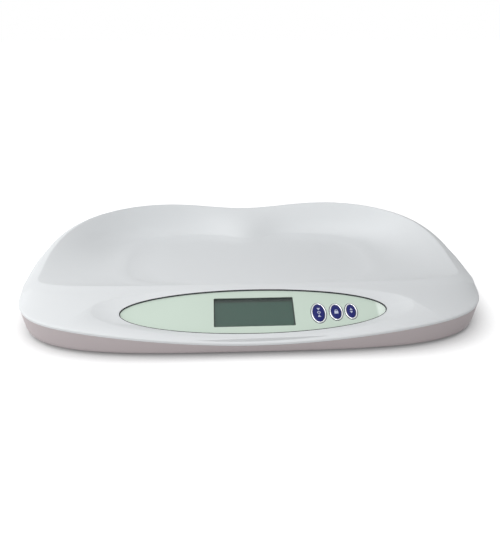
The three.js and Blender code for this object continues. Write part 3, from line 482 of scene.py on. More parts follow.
def inset(section, thickness, lean):
    """The same section set inwards by a wall, with mitred corners."""
    flat = [np.stack([p[:, 0] * lean, p[:, 1]], -1) for p in section]

    def normal(i):
        leg = flat[i + 1] - flat[i]
        leg = leg / np.hypot(leg[:, 0], leg[:, 1])[:, None]
        return np.stack([leg[:, 1], -leg[:, 0]], -1)

    inside = []
    for i, p in enumerate(flat):
        before, after = normal(max(0, i - 1)), normal(min(len(flat) - 2, i))
        mitre = before + after
        mitre /= np.hypot(mitre[:, 0], mitre[:, 1])[:, None]
        far = p + mitre * (thickness / np.sum(mitre * after, 1))[:, None]
        inside.append(np.stack([far[:, 0] / lean, far[:, 1]], -1))
    return inside


def placed(rays, points):
    """A row of a section's points, one for each ray, as places in the row frame."""
    return np.stack([rays[:, 0] * points[:, 0], RING_CENTRE + rays[:, 1] * points[:, 0], points[:, 1]], -1)


def next_row(made, ring, edges, row):
    """Extrudes a ring of edges and moves its new vertices to a row's places."""
    out = bmesh.ops.extrude_edge_only(made, edges=edges)["geom"]
    fresh = {g for g in out if isinstance(g, bmesh.types.BMVert)}
    edges = [g for g in out if isinstance(g, bmesh.types.BMEdge) and set(g.verts) <= fresh]
    ring = [next(e.other_vert(v) for e in v.link_edges if e.other_vert(v) in fresh) for v in ring]
    for vert, place in zip(ring, row):
        vert.co = place
    return ring, edges


def first_row(row):
    """A circle with its vertices moved to a row's places: the bmesh, its vertices and its edges."""
    made = bmesh.new()
    bmesh.ops.create_circle(made, cap_ends=False, segments=len(row), radius=1)
    made.verts.ensure_lookup_table()
    for vert, place in zip(made.verts, row):
        vert.co = place
    return made, list(made.verts), list(made.edges)


def lofted(rows):
    """A closed skin: each row extruded from the one before it and moved into place, and both ends filled."""
    made, ring, edges = first_row(rows[0])
    first = list(edges)
    for row in rows[1:]:
        ring, edges = next_row(made, ring, edges, row)
    for rim in (first, edges):
        bmesh.ops.contextual_create(made, geom=rim)
    bmesh.ops.recalc_face_normals(made, faces=made.faces)
    return made


def oval(x, y, half_width, half_height, power=1.0, count=64):
    """Points of an oval whose ends are more pointed than an ellipse's as the power rises above 1."""
    angle = 2 * math.pi * np.arange(count) / count
    return np.stack([x + half_width * np.cos(angle), y + half_height * spread(np.sin(angle), power)], -1)


def level(outline, z):
    """A flat outline at one height."""
    return np.column_stack([outline, np.full(len(outline), z)])


def slab(outline, low, high):
    """A flat outline extruded between two heights."""
    return lofted([level(outline, low), level(outline, high)])


def band(rows):
    """A ring-shaped skin: each row extruded from the last, back to the first, where the two are merged."""
    made, ring, edges = first_row(rows[0])
    for row in (*rows[1:], rows[0]):
        ring, edges = next_row(made, ring, edges, row)
    bmesh.ops.remove_doubles(made, verts=made.verts, dist=MERGE)
    bmesh.ops.recalc_face_normals(made, faces=made.faces)
    return made


def turned(profile, x=0.0, y=0.0, segments=64):
    """A profile of radius and height, from axis to axis, spun round an upright axis."""
    made = bmesh.new()
    verts = [made.verts.new((radius, 0, z)) for radius, z in profile]
    edges = [made.edges.new(pair) for pair in zip(verts, verts[1:])]
    bmesh.ops.spin(
        made, geom=verts + edges, cent=(0, 0, 0), axis=(0, 0, 1), angle=2 * math.pi,
        steps=segments, use_merge=True,
    )
    bmesh.ops.remove_doubles(made, verts=made.verts, dist=MERGE)
    bmesh.ops.recalc_face_normals(made, faces=made.faces)
    bmesh.ops.translate(made, vec=(x, y, 0), verts=made.verts)
    return made


def eased(profile, radius, steps=4):
    """The profile with a quadratic curve at each inner corner, no longer than half of either leg."""
    points = [np.array(p, float) for p in profile]
    out = [points[0]]
    for before, corner, after in zip(points, points[1:], points[2:]):
        legs = [before - corner, after - corner]
        ends = [corner + leg * min(0.5, radius / max(MERGE, np.hypot(*leg))) for leg in legs]
        for u in np.linspace(0, 1, steps + 1):
            out.append((1 - u) ** 2 * ends[0] + 2 * u * (1 - u) * corner + u * u * ends[1])
    return out + [points[-1]]


def cluster(boxes):
    """Separate boxes in one mesh, each from its middle in plan, its two heights and its two widths."""
    made = bmesh.new()
    for x, y, low, high, width, depth in boxes:
        size = Matrix.Diagonal((width, depth, high - low, 1))
        bmesh.ops.create_cube(made, size=1, matrix=Matrix.Translation((x, y, (low + high) / 2)) @ size)
    return made


def box(*sizes):
    """One box, from its middle in plan, its two heights and its two widths."""
    return cluster([sizes])


def drum(x, y, low, high, radius, segments=48):
    """A round solid standing between two heights."""
    made = bmesh.new()
    place = Matrix.Translation((x, y, (low + high) / 2))
    bmesh.ops.create_cone(
        made, cap_ends=True, segments=segments, radius1=radius, radius2=radius, depth=high - low, matrix=place
    )
    return made


def rounded_rectangle(x, y, width, height, radius, steps=6):
    """Points of a rectangle with round corners."""
    points = []
    for side_x, side_y, quarter in ((1, 1, 0), (-1, 1, 1), (-1, -1, 2), (1, -1, 3)):
        for angle in (quarter + np.linspace(0, 1, steps + 1)) * math.pi / 2:
            corner = (x + side_x * (width / 2 - radius), y + side_y * (height / 2 - radius))
            points.append((corner[0] + radius * math.cos(angle), corner[1] + radius * math.sin(angle)))
    return np.array(points)


def moved(made, matrix):
    """Moves a bmesh by a matrix."""
    bmesh.ops.transform(made, matrix=matrix, verts=made.verts)
    return made


def on_panel(made):
    """Moves a bmesh from the panel's own frame to its place on the slope."""
    return moved(made, PANEL_MATRIX)


def object_of(made, name):
    """An object from a bmesh in millimetres; the bmesh is spent."""
    bmesh.ops.scale(made, vec=(MM, MM, MM), verts=made.verts)
    mesh = bpy.data.meshes.new(name)
    made.to_mesh(mesh)
    made.free()
    piece = bpy.data.objects.new(name, mesh)
    bpy.context.scene.collection.objects.link(piece)
    return piece


def joined(piece, made, operation):
    """The piece after a union with, a cut by or an overlap with another solid, which is spent."""
    other = object_of(made, "tool") if isinstance(made, bmesh.types.BMesh) else made
    modifier = piece.modifiers.new("join", "BOOLEAN")
    modifier.operation = operation
    modifier.solver = "MANIFOLD"
    modifier.object = other
    bpy.context.view_layer.update()
    whole = bpy.data.meshes.new_from_object(piece.evaluated_get(bpy.context.evaluated_depsgraph_get()))
    piece.modifiers.clear()
    spent, piece.data = piece.data, whole
    bpy.data.meshes.remove(spent)
    tool = other.data
    bpy.data.objects.remove(other)
    bpy.data.meshes.remove(tool)
    return piece


def cut(piece, cutters):
    """The piece after a cut by each solid in turn."""
    for made in cutters:
        joined(piece, made, "DIFFERENCE")
    return piece


def hollowed(piece, room, features, cutters):
    """A shell: the room in it, then the features as far as they lie inside the piece, then the openings."""
    joined(features, copy_of(piece, "outside"), "INTERSECT")
    joined(piece, room, "DIFFERENCE")
    joined(piece, features, "UNION")
    return cut(piece, cutters)


def copy_of(piece, name):
    """A second object with its own copy of the mesh."""
    twin = bpy.data.objects.new(name, piece.data.copy())
    bpy.context.scene.collection.objects.link(twin)
    return twin


def gathered(solids):
    """One object from several solids in millimetres, joined one after another."""
    first, *others = solids
    piece = object_of(first, "gathered")
    for made in others:
        joined(piece, made, "UNION")
    return piece


def middle(node):
    """The middle of a node's box, in millimetres."""
    low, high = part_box(node)
    return (low + high) / 2 / MM


def merged(piece, flat=False):
    """Merges a piece's doubled points, and its flat faces too where that is asked."""
    made = bmesh.new()
    made.from_mesh(piece.data)
    bmesh.ops.remove_doubles(made, verts=made.verts, dist=MERGE * MM)
    if flat:
        bmesh.ops.dissolve_limit(
            made, angle_limit=FLAT_ANGLE, use_dissolve_boundaries=False, verts=made.verts, edges=made.edges
        )
    made.to_mesh(piece.data)
    made.free()
    return piece


def softened(piece, width, segments=3, angle=35.0):
    """Merges a piece's doubled points and flat faces, and rounds its sharp edges."""
    bevel = merged(piece, flat=True).modifiers.new("edges", "BEVEL")
    bevel.width, bevel.segments = width * MM, segments
    bevel.limit_method, bevel.angle_limit = "ANGLE", math.radians(angle)
    bevel.use_clamp_overlap = True
    return piece


def finished(piece, finish, body=ROOT, replaces=(), crease=30.0):
    """Shades and paints a piece that is already in place, hangs it on its body and hides the parts it
    replaces.
    """
    mesh = piece.data
    mesh.shade_smooth()
    mesh.set_sharp_from_angle(angle=math.radians(crease))
    mesh.materials.clear()
    mesh.materials.append(finish)
    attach(piece, body)
    if replaces:
        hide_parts(*replaces)
    return piece


def new_finish(name, colour, roughness=0.5, metallic=0.0):
    """A material with a Principled shader: the material, its node tree and the shader."""
    finish = bpy.data.materials.new(name)
    finish.use_nodes = True
    shader = finish.node_tree.nodes["Principled BSDF"]
    shader.inputs["Base Color"].default_value = (*colour, 1)
    shader.inputs["Roughness"].default_value = roughness
    shader.inputs["Metallic"].default_value = metallic
    return finish, finish.node_tree, shader


def plain_finish(slot):
    """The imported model's own plain material of a slot, for pieces inside and underneath."""
    return bpy.data.materials[slot]


def own_place(tree):
    """The piece's own coordinates, from one node that the whole finish shares."""
    where = tree.nodes.get("where") or tree.nodes.new("ShaderNodeTexCoord")
    where.name = "where"
    return where.outputs["Object"]


def mapped(tree, mode, place, turn=(0, 0, 0), scale=(1, 1, 1)):
    """The piece's own coordinates, moved, turned and scaled."""
    node = tree.nodes.new("ShaderNodeMapping")
    node.vector_type = mode
    node.inputs["Location"].default_value = place
    node.inputs["Rotation"].default_value = turn
    node.inputs["Scale"].default_value = scale
    tree.links.new(own_place(tree), node.inputs["Vector"])
    return node.outputs["Vector"]


def on_panel_face(tree, place, scale=(1, 1, 1)):
    """Coordinates along the panel's face, from a point of it and in units of the given lengths."""
    return mapped(tree, "TEXTURE", PANEL_MATRIX @ Vector(place) * MM, (PANEL_TILT, 0, 0), scale)


def along(tree, place, axis):
    """How far a place lies along X, Y or Z."""
    node = tree.nodes.new("ShaderNodeSeparateXYZ")
    tree.links.new(place, node.inputs["Vector"])
    return node.outputs[axis]


def worked(tree, operation, value, other=0.0):
    """A sum or a plain change of a value."""
    node = tree.nodes.new("ShaderNodeMath")
    node.operation = operation
    node.inputs[1].default_value = other
    tree.links.new(value, node.inputs[0])
    return node.outputs["Value"]


def texture(tree, kind, scale, place=None):
    """A texture over the piece's own coordinates, or over another place."""
    node = tree.nodes.new(f"ShaderNodeTex{kind}")
    node.inputs["Scale"].default_value = scale
    tree.links.new(own_place(tree) if place is None else place, node.inputs["Vector"])
    return node


def noise(tree, scale, detail=2.0, place=None):
    """Soft noise over the piece's own coordinates, or over another place."""
    node = texture(tree, "Noise", scale, place)
    node.inputs["Detail"].default_value = detail
    return node.outputs["Fac"]


def ranged(tree, value, start=(0, 1), end=(0, 1)):
    """A value taken from one range to another, and held at its ends."""
    node = tree.nodes.new("ShaderNodeMapRange")
    for name, limits in (("From", start), ("To", end)):
        node.inputs[f"{name} Min"].default_value = limits[0]
        node.inputs[f"{name} Max"].default_value = limits[1]
    tree.links.new(value, node.inputs["Value"])
    return node.outputs["Result"]


def mixed(tree, share, first, second):
    """A colour between two others, each of them fixed or made by a node."""
    node = tree.nodes.new("ShaderNodeMixRGB")
    tree.links.new(share, node.inputs["Fac"])
    for name, colour in (("Color1", first), ("Color2", second)):
        if isinstance(colour, bpy.types.NodeSocket):
            tree.links.new(colour, node.inputs[name])
        else:
            node.inputs[name].default_value = (*colour, 1)
    return node.outputs["Color"]


def toned(colour, share, lift=0.0):
    """A colour made lighter or darker, and never brighter than white."""
    return [min(1, c * share + lift) for c in colour]


def raised(tree, shader, height, strength, distance):
    """Gives a shader the relief of a texture."""
    node = tree.nodes.new("ShaderNodeBump")
    node.inputs["Strength"].default_value = strength
    node.inputs["Distance"].default_value = distance
    tree.links.new(height, node.inputs["Height"])
    tree.links.new(node.outputs["Normal"], shader.inputs["Normal"])


def moulded_finish(name, colour, roughness, grain_scale=900.0, grain_depth=0.00003):
    """Moulded plastic: a fine spark-eroded grain, cloudy roughness and a slight drift of tone."""
    finish, tree, shader = new_finish(name, colour, roughness)
    cloud = noise(tree, 14)
    shine = ranged(tree, cloud, end=(roughness - 0.05, roughness + 0.07))
    tone = mixed(tree, cloud, toned(colour, 0.985), toned(colour, 1.012))
    tree.links.new(shine, shader.inputs["Roughness"])
    tree.links.new(tone, shader.inputs["Base Color"])
    raised(tree, shader, noise(tree, grain_scale, 3), 0.35, grain_depth)
    return finish


def metal_finish(name, colour, roughness):
    """Metal with fine drawn lines in its roughness and a faint unevenness."""
    finish, tree, shader = new_finish(name, colour, roughness, 1.0)
    lines = noise(tree, 1, 4, mapped(tree, "POINT", (0, 0, 0), scale=(60, 1500, 1500)))
    shine = ranged(tree, lines, end=(max(0.03, roughness - 0.08), roughness + 0.1))
    tone = mixed(tree, lines, toned(colour, 0.9), toned(colour, 1.06))
    tree.links.new(shine, shader.inputs["Roughness"])
    tree.links.new(tone, shader.inputs["Base Color"])
    raised(tree, shader, lines, 0.2, 0.000004)
    return finish


def film_finish(colour):
    """Printed film: satin tooth, a slow drift of tint, a painted highlight on the right tip and a ring of
    painted shade round each bezel.
    """
    finish, tree, shader = new_finish("overlay_green", colour, 0.42)
    # Painted highlight: the film turns paler towards its right tip, for light reflected there
    tip = ranged(tree, along(tree, own_place(tree), "X"), FILM_TIP_HIGHLIGHT)
    tint = mixed(tree, noise(tree, 9), toned(colour, 0.95), toned(colour, 1.04))
    painted = mixed(tree, tip, tint, toned(colour, 1.25, 0.08))
    # Painted shade: a dark ring round each bezel stands for the shadow in the gap between bezel and film
    for _, x, y, half_width, half_height in BUTTONS:
        edge = SLIDE_GAP + BEZEL_WIDTH + GAP + BEZEL_GAP_SHADE
        sizes = ((half_width + edge) * MM, (half_height + edge) * MM, 1)
        away = tree.nodes.new("ShaderNodeVectorMath")
        away.operation = "LENGTH"
        tree.links.new(on_panel_face(tree, (x, y, 0), sizes), away.inputs[0])
        inside = ranged(tree, away.outputs["Value"], (1.01, 0.99))
        painted = mixed(tree, inside, painted, (0.10, 0.11, 0.13))
    tree.links.new(painted, shader.inputs["Base Color"])
    raised(tree, shader, noise(tree, 2600), 0.3, 0.000006)
    return finish


def lens_finish():
    """Clear acrylic with a trace of green and a few soft wipe marks."""
    finish, tree, shader = new_finish("lens_clear", (0.60, 0.70, 0.65), 0.06)
    shader.inputs["Alpha"].default_value = 0.05
    tree.links.new(ranged(tree, noise(tree, 30), end=(0.03, 0.12)), shader.inputs["Roughness"])
    return finish


def display_finish():
    """Unlit liquid crystal: grey-green, cloudy, with a fine tooth and a darker margin of painted shade,
    deepest at the top, for the shadow of the window's wall.
    """
    finish, tree, shader = new_finish("display_dark", (0.024, 0.073, 0.052), 0.3)
    shader.inputs["Specular IOR Level"].default_value = 0.3
    painted = mixed(tree, noise(tree, 20), (0.021, 0.066, 0.047), (0.026, 0.079, 0.056))
    # Painted shade: the display darkens towards its edges, most at the top, where the window's wall shades it
    width, height, shift = DISPLAY_EDGE_SHADE
    place = on_panel_face(tree, (0, shift, GLASS_TOP))
    for axis, half, margin in (("X", WINDOW[0] / 2, width), ("Y", WINDOW[1] / 2 + shift, height)):
        away = worked(tree, "ABSOLUTE", along(tree, place, axis))
        rim = ranged(tree, away, ((half - 2 * margin) * MM, half * MM))
        painted = mixed(tree, rim, painted, (0.004, 0.010, 0.009))
    tree.links.new(painted, shader.inputs["Base Color"])
    raised(tree, shader, noise(tree, 3000), 0.15, 0.000003)
    return finish


def cell_finish():
    """A plain dark jacket with a soft sheen, bare metal past both its ends."""
    finish, tree, shader = new_finish("cell_jacket", (0.02, 0.035, 0.05), 0.3)
    away = worked(tree, "SUBTRACT", along(tree, own_place(tree), "Y"), BAY_CENTRE * MM)
    bare = ranged(tree, worked(tree, "ABSOLUTE", away), CELL_BARE)
    jacket = mixed(tree, noise(tree, 260), (0.016, 0.029, 0.042), (0.024, 0.041, 0.058))
    tree.links.new(bare, shader.inputs["Metallic"])
    tree.links.new(mixed(tree, bare, jacket, (0.62, 0.60, 0.55)), shader.inputs["Base Color"])
    return finish


def strip_finish():
    """Silicone rubber with fine dark conducting layers across its length."""
    finish, tree, shader = new_finish("strip_pink", (0.55, 0.26, 0.30), 0.6)
    layers = texture(tree, "Wave", 900)
    layers.bands_direction = "X"
    tint = mixed(tree, layers.outputs["Fac"], (0.06, 0.05, 0.055), (0.58, 0.28, 0.32))
    tree.links.new(tint, shader.inputs["Base Color"])
    return finish


def board_finish():
    """Green solder mask over a fine net of tracks, with scattered tinned pads."""
    finish, tree, shader = new_finish("board_green", (0.015, 0.10, 0.04), 0.35)
    tracks = texture(tree, "Brick", 170)
    tracks.inputs["Mortar Size"].default_value = 0.035
    tracks.inputs["Color1"].default_value = (0.012, 0.085, 0.034, 1)
    tracks.inputs["Color2"].default_value = (0.015, 0.098, 0.040, 1)
    tracks.inputs["Mortar"].default_value = (0.040, 0.190, 0.075, 1)
    pads = ranged(tree, texture(tree, "Voronoi", 190).outputs["Distance"], (0.12, 0.10))
    tint = mixed(tree, pads, tracks.outputs["Color"], (0.55, 0.55, 0.50))
    tree.links.new(pads, shader.inputs["Metallic"])
    tree.links.new(tint, shader.inputs["Base Color"])
    raised(tree, shader, tracks.outputs["Fac"], 0.3, 0.00003)
    return finish


def aimed(data, place, target):
    """Adds a camera or a lamp at a place, turned towards a target."""
    holder = bpy.data.objects.new(data.name, data)
    bpy.context.scene.collection.objects.link(holder)
    holder.location = place
    holder.rotation_euler = (Vector(target) - Vector(place)).to_track_quat("-Z", "Y").to_euler()
    return holder


class BuildStage(bpy.types.Operator):
    """Adds the camera, the floor, the room light and the lamps."""

    bl_idname = "baby_scale.build_stage"
    bl_label = "Stage"

    def execute(self, context):
        stage = context.scene.baby_scale_stage
        scene = context.scene
        scene.view_settings.view_transform = "Standard"
        data = bpy.data.cameras.new("camera")
        data.lens, data.sensor_width = stage.lens, CAMERA_SENSOR
        data.clip_start, data.clip_end = CAMERA_CLIP
        scene.camera = aimed(data, stage.camera_place, stage.camera_target)
        made = bmesh.new()
        bmesh.ops.create_grid(made, x_segments=2, y_segments=2, size=FLOOR_SIZE / MM)
        floor = object_of(made, "floor")
        floor.data.materials.append(floor_finish())
        scene.world = room_light(stage.world_strength)
        for name, place, size in LAMPS:
            lamp = bpy.data.lights.new(name, "AREA")
            lamp.shape, lamp.size, lamp.energy = "DISK", size, getattr(stage, f"{name}_power")
            aimed(lamp, place, LAMP_TARGET)
        return {"FINISHED"}


def room_light(strength):
    """An even light from all round, which shows plain white to the camera."""
    world = bpy.data.worlds.new("room")
    world.use_nodes = True
    tree = world.node_tree
    background = tree.nodes["Background"]
    background.inputs["Color"].default_value = (0.97, 0.98, 1, 1)
    background.inputs["Strength"].default_value = strength
    white = tree.nodes.new("ShaderNodeBackground")
    white.inputs["Color"].default_value = (1, 1, 1, 1)
    white.inputs["Strength"].default_value = 1
    seen = seen_mix(tree, background.outputs["Background"], white.outputs["Background"])
    tree.links.new(seen, tree.nodes["World Output"].inputs["Surface"])
    return world


def seen_mix(tree, lighting, seen):
    """One shader for the light and another for what the camera sees, also by reflection or through glass."""
    path = tree.nodes.new("ShaderNodeLightPath")
    total = path.outputs["Is Camera Ray"]
    for name in ("Is Glossy Ray", "Is Transmission Ray"):
        add = tree.nodes.new("ShaderNodeMath")
        add.operation, add.use_clamp = "ADD", True
        tree.links.new(total, add.inputs[0])
        tree.links.new(path.outputs[name], add.inputs[1])
        total = add.outputs["Value"]
    mix = tree.nodes.new("ShaderNodeMixShader")
    for source, socket in zip((total, lighting, seen), mix.inputs):
        tree.links.new(source, socket)
    return mix.outputs["Shader"]


def floor_finish():
    """A pale floor that shows white to the camera, with a painted contact shadow: its glow dims close under
    the object, where the object occludes it.
    """
    finish, tree, shader = new_finish("floor_white", (0.6, 0.6, 0.6), 0.9)
    near = tree.nodes.new("ShaderNodeAmbientOcclusion")
    near.inputs["Distance"].default_value = 0.05
    glow = tree.nodes.new("ShaderNodeEmission")
    # Painted contact shadow: the glow the camera sees falls with occlusion, on top of the real shade in the
    # diffuse part
    tree.links.new(ranged(tree, near.outputs["AO"], (0.35, 1), (0.1, 0.8)), glow.inputs["Strength"])
    add = tree.nodes.new("ShaderNodeAddShader")
    tree.links.new(shader.outputs["BSDF"], add.inputs[0])
    tree.links.new(glow.outputs["Emission"], add.inputs[1])
    seen = seen_mix(tree, shader.outputs["BSDF"], add.outputs["Shader"])
    tree.links.new(seen, tree.nodes["Material Output"].inputs["Surface"])
    return finish


class BuildShell(bpy.types.Operator):
    """Builds the white upper shell: cradle, rim, front slope, dish and pocket."""

    bl_idname = "baby_scale.build_shell"
    bl_label = "Upper shell"

    def execute(self, context):
        sizes = context.scene.baby_scale_sizes
        colours = context.scene.baby_scale_colours
        rays = ray_fan(sizes.rays)
        section = shell_section(rays)
        outer = [placed(rays, row) for row in rounded(section, OUTER_ROUNDING, sizes.rounding)]
        within = inset(section, WALL, lean_of(rays))
        inner = [placed(rays, row) for row in rounded(within, INNER_ROUNDING, INNER_STEPS)]
        mouth = inner[-1].copy()
        mouth[:, 2] = -OVERRUN
        outside = lofted(outer)
        tree = BVHTree.FromBMesh(outside)
        piece = object_of(outside, "cradle_shell")
        screws = [middle(name) for name in CASE_SCREWS]
        screw_end = SCREW_SEAT + SCREW_LENGTH
        features = gathered([
            on_panel(slab(oval(0, 0, *BACKING_HALF, count=160), PANEL_BACK, BACKING_TOP)),
            *[drum(at.x, at.y, BOSS_SPLIT, RIM_HEIGHT, BOSS_RADIUS) for at in screws],
        ])
        hollowed(piece, lofted(inner + [mouth]), features, [
            dish_cutter(tree),
            pocket_cutter(),
            on_panel(box(0, 0, PANEL_BACK - OVERRUN, OVERRUN, GLASS[0] + 2 * GAP, GLASS[1] + 2 * GAP)),
            *[on_panel(slab(button_outline(b, SLIDE_GAP), PANEL_BACK - OVERRUN, OVERRUN)) for b in BUTTONS],
            *[drum(s.x, s.y, BOSS_SPLIT - GAP, screw_end, SCREW_RADIUS + GAP) for s in screws],
        ])
        for post in BOARD_POSTS:
            joined(piece, on_panel(drum(*post, BOARD_TOP + GAP, PANEL_BACK + GAP, POST_RADIUS)), "UNION")
        hole = (BOARD_TOP - GAP, BOARD_TOP + BOARD_SCREW_LENGTH, BOARD_SCREW_RADIUS + GAP)
        cut(piece, [on_panel(drum(*post, *hole)) for post in BOARD_POSTS])
        finish = moulded_finish("shell_white", colours.shell, 0.5)
        finished(piece, finish, replaces=["tray_shell"])
        return {"FINISHED"}


def dish_cutter(tree):
    """The shallow dish round the overlay, from its lip out to a steeper edge along an oval on the slope."""
    down = (PANEL_MATRIX.to_3x3() @ Vector((0, 0, -1))).normalized()
    rows = [level(film_outline(DISH_MARGIN), DISH_LIP)]
    for inwards, depth in (DISH_EDGE, (0, -DISH_CLEAR)):
        row = oval(0, DISH_SHIFT, DISH_HALF[0] - inwards, DISH_HALF[1] - inwards, DISH_POWER, FILM_STEPS)
        heights = []
        for x, y in row:
            start = PANEL_MATRIX @ Vector((x, y, SCALE_DEPTH / 2))
            heights.append(max(DISH_LIP, SCALE_DEPTH / 2 - tree.ray_cast(start, down)[3] - depth))
        rows.append(np.column_stack([row, heights]))
    rows.append(rows[-1] + np.array([0, 0, OVERRUN]))
    return on_panel(lofted(rows))


def button_outline(button, grow, share=1.0):
    """A button's outline, grown all round, at a share of its width and height."""
    _, x, y, half_width, half_height = button
    return oval(x, y, (half_width + grow) * share, (half_height + grow) * share, count=BUTTON_STEPS)


def pocket_cutter():
    """The film's pocket, with a narrow chamfer where it meets the dish."""
    mouth = SLIDE_GAP + POCKET_CHAMFER
    rows = [(SLIDE_GAP, POCKET_FLOOR), (SLIDE_GAP, DISH_LIP - POCKET_CHAMFER)]
    rows += [(mouth, DISH_LIP + GAP / 2), (mouth, DISH_LIP + OVERRUN)]
    return on_panel(lofted([level(film_outline(grow), z) for grow, z in rows]))


def film_outline(grow):
    """The film's outline, grown all round."""
    return oval(0, 0, OVERLAY_HALF[0] + grow, OVERLAY_HALF[1] + grow, OVERLAY_POWER, FILM_STEPS)


class BuildBase(bpy.types.Operator):
    """Builds the grey base: skirt, bottom, seats of the feet, screw wells, ribs and battery bay."""

    bl_idname = "baby_scale.build_base"
    bl_label = "Base"

    def execute(self, context):
        sizes = context.scene.baby_scale_sizes
        colours = context.scene.baby_scale_colours
        rays = ray_fan(sizes.rays)
        lean, far, foot = lean_of(rays), reach(WAIST, rays), reach(BASE_EDGE, rays)
        top = waist_height(rays[:, 0] * far, RING_CENTRE + rays[:, 1] * far) - LIP_HEIGHT
        tongue = far - LIP_INSET - (WALL + GAP) / lean
        plate_top = BASE_HEIGHT + BASE_WALL
        edge = [
            section_point(foot * BED_INNER_SHARE, BASE_HEIGHT),
            section_point(foot, BASE_HEIGHT),
            section_point(far - LIP_INSET, top - GAP),
            section_point(tongue, top - GAP),
            section_point(tongue, top + TONGUE_RISE),
        ]
        room = [
            section_point(foot * BED_INNER_SHARE, plate_top),
            section_point(foot - BASE_WALL / lean, plate_top),
            section_point(tongue - TONGUE_WALL / lean, top + TONGUE_RISE + OVERRUN),
        ]
        outer = [placed(rays, row) for row in rounded(edge, BASE_ROUNDING, sizes.rounding)]
        piece = object_of(lofted(outer), "base_shell")
        screws = [middle(name) for name in CASE_SCREWS]
        feet = [middle(f"foot_pad_{name}") for name in FEET]
        door_middle = (DOOR_FRONT + HINGE[0]) / 2
        features = gathered([
            *[drum(s.x, s.y, BASE_HEIGHT, BOSS_SPLIT - GAP, BOSS_RADIUS) for s in screws],
            *[slab(rounded_rectangle(*f.xy, SEAT, SEAT, SEAT_CORNER), BASE_HEIGHT, SEAT_TOP) for f in feet],
            *[box(x, y, BASE_HEIGHT, plate_top + RIB_HEIGHT, width, depth) for x, y, width, depth in RIBS],
            box(0, door_middle, BASE_HEIGHT, BAY_FRAME[2], *BAY_FRAME[:2]),
            box(0, BAY_CENTRE, BASE_HEIGHT + GAP, BAY_ROOF + BAY_WALL, *[s + 2 * BAY_WALL for s in BAY_SIZE]),
        ])
        reach_in = SENSOR + 2 * SLIDE_GAP
        recess = (DOOR_SIZE[0] + 2 * SLIDE_GAP, DOOR_SIZE[1] + BARREL_RADIUS + 2 * SLIDE_GAP)
        hole_place = (BATTERY_LEAD_X, BAY_CENTRE - BAY_SIZE[1] / 2 - BAY_WALL / 2, CELL_AXIS)
        turn = Matrix.Translation(hole_place) @ Matrix.Rotation(math.pi / 2, 4, "X")
        bore_length = DOOR_SIZE[0] + 2 * (PIN_LENGTH + SLIDE_GAP)
        recess_top = HINGE[1] + BARREL_RADIUS + SLIDE_GAP
        hollowed(piece, lofted([placed(rays, row) for row in room]), features, [
            *[drum(s.x, s.y, -OVERRUN, BOSS_SPLIT + GAP, SCREW_RADIUS + GAP) for s in screws],
            *[drum(s.x, s.y, -OVERRUN, SCREW_SEAT, SCREW_HEAD + GAP) for s in screws],
            *[drum(f.x, f.y, -OVERRUN, SEAT_TOP, FOOT_RADIUS + SLIDE_GAP, 96) for f in feet],
            *[box(f.x, f.y, SEAT_LEDGE, SEAT_TOP + OVERRUN, reach_in, reach_in) for f in feet],
            *[lead_notch(f) for f in feet],
            box(0, BAY_CENTRE, -OVERRUN, BAY_ROOF, *BAY_SIZE),
            box(0, DOOR_FRONT - SLIDE_GAP + recess[1] / 2, -OVERRUN, recess_top, *recess),
            along_x(PIN_RADIUS + SLIDE_GAP / 2, bore_length, *HINGE),
            moved(drum(0, 0, -2 * BAY_WALL, 2 * BAY_WALL, LEAD_RADIUS + GAP), turn),
        ])
        # The base colour holds painted shade and a painted warm reflection besides its own grey
        finish = moulded_finish("base_grey", colours.base, 0.5)
        finished(piece, finish, replaces=["base_pan"])
        return {"FINISHED"}


def lead_notch(foot):
    """The way out for a lead through the wall of a foot's seat."""
    side = math.copysign((SEAT - SEAT_WALL) / 2, foot.x)
    low = SENSOR_BOTTOM + 1 - 2 * LEAD_RADIUS
    return box(foot.x - side, foot.y, low, SEAT_TOP + OVERRUN, 2 * SEAT_WALL, 4 * LEAD_RADIUS)


def along_x(radius, length, y, z, segments=40):
    """A round bar along X, centred on the middle of the scale."""
    turn = Matrix.Translation((0, y, z)) @ Matrix.Rotation(math.pi / 2, 4, "Y")
    return moved(drum(0, 0, -length / 2, length / 2, radius, segments), turn)


class BuildFilm(bpy.types.Operator):
    """Builds the pale green film with its window and holes, and a thin black ring round it as painted shade
    for the gap at its edge.
    """

    bl_idname = "baby_scale.build_film"
    bl_label = "Panel film"

    def execute(self, context):
        colours = context.scene.baby_scale_colours
        rows = [(-FILM_EDGE, -OVERLAY_THICKNESS), (0, FILM_EDGE - OVERLAY_THICKNESS)]
        rows += [(0, -FILM_EDGE), (-FILM_EDGE, 0)]
        piece = object_of(on_panel(lofted([level(film_outline(grow), z) for grow, z in rows])), "panel_film")
        holes = [rounded_rectangle(0, 0, *WINDOW, WINDOW_CORNER)]
        holes += [button_outline(button, SLIDE_GAP + BEZEL_WIDTH + GAP) for button in BUTTONS]
        cut(piece, [on_panel(slab(outline, -OVERRUN, OVERRUN)) for outline in holes])
        finished(piece, film_finish(colours.overlay), replaces=["panel_overlay"])
        # Painted shade: a black ring in the gap round the film stands for the shadow there
        ring = band([level(film_outline(grow), z) for grow, z in GAP_SHADE_SECTION])
        gap_shade = object_of(on_panel(ring), "panel_seal")
        black = moulded_finish("seal_black", (0.02, 0.022, 0.025), 0.7, 500.0, 0.00002)
        finished(gap_shade, black, crease=60)
        return {"FINISHED"}


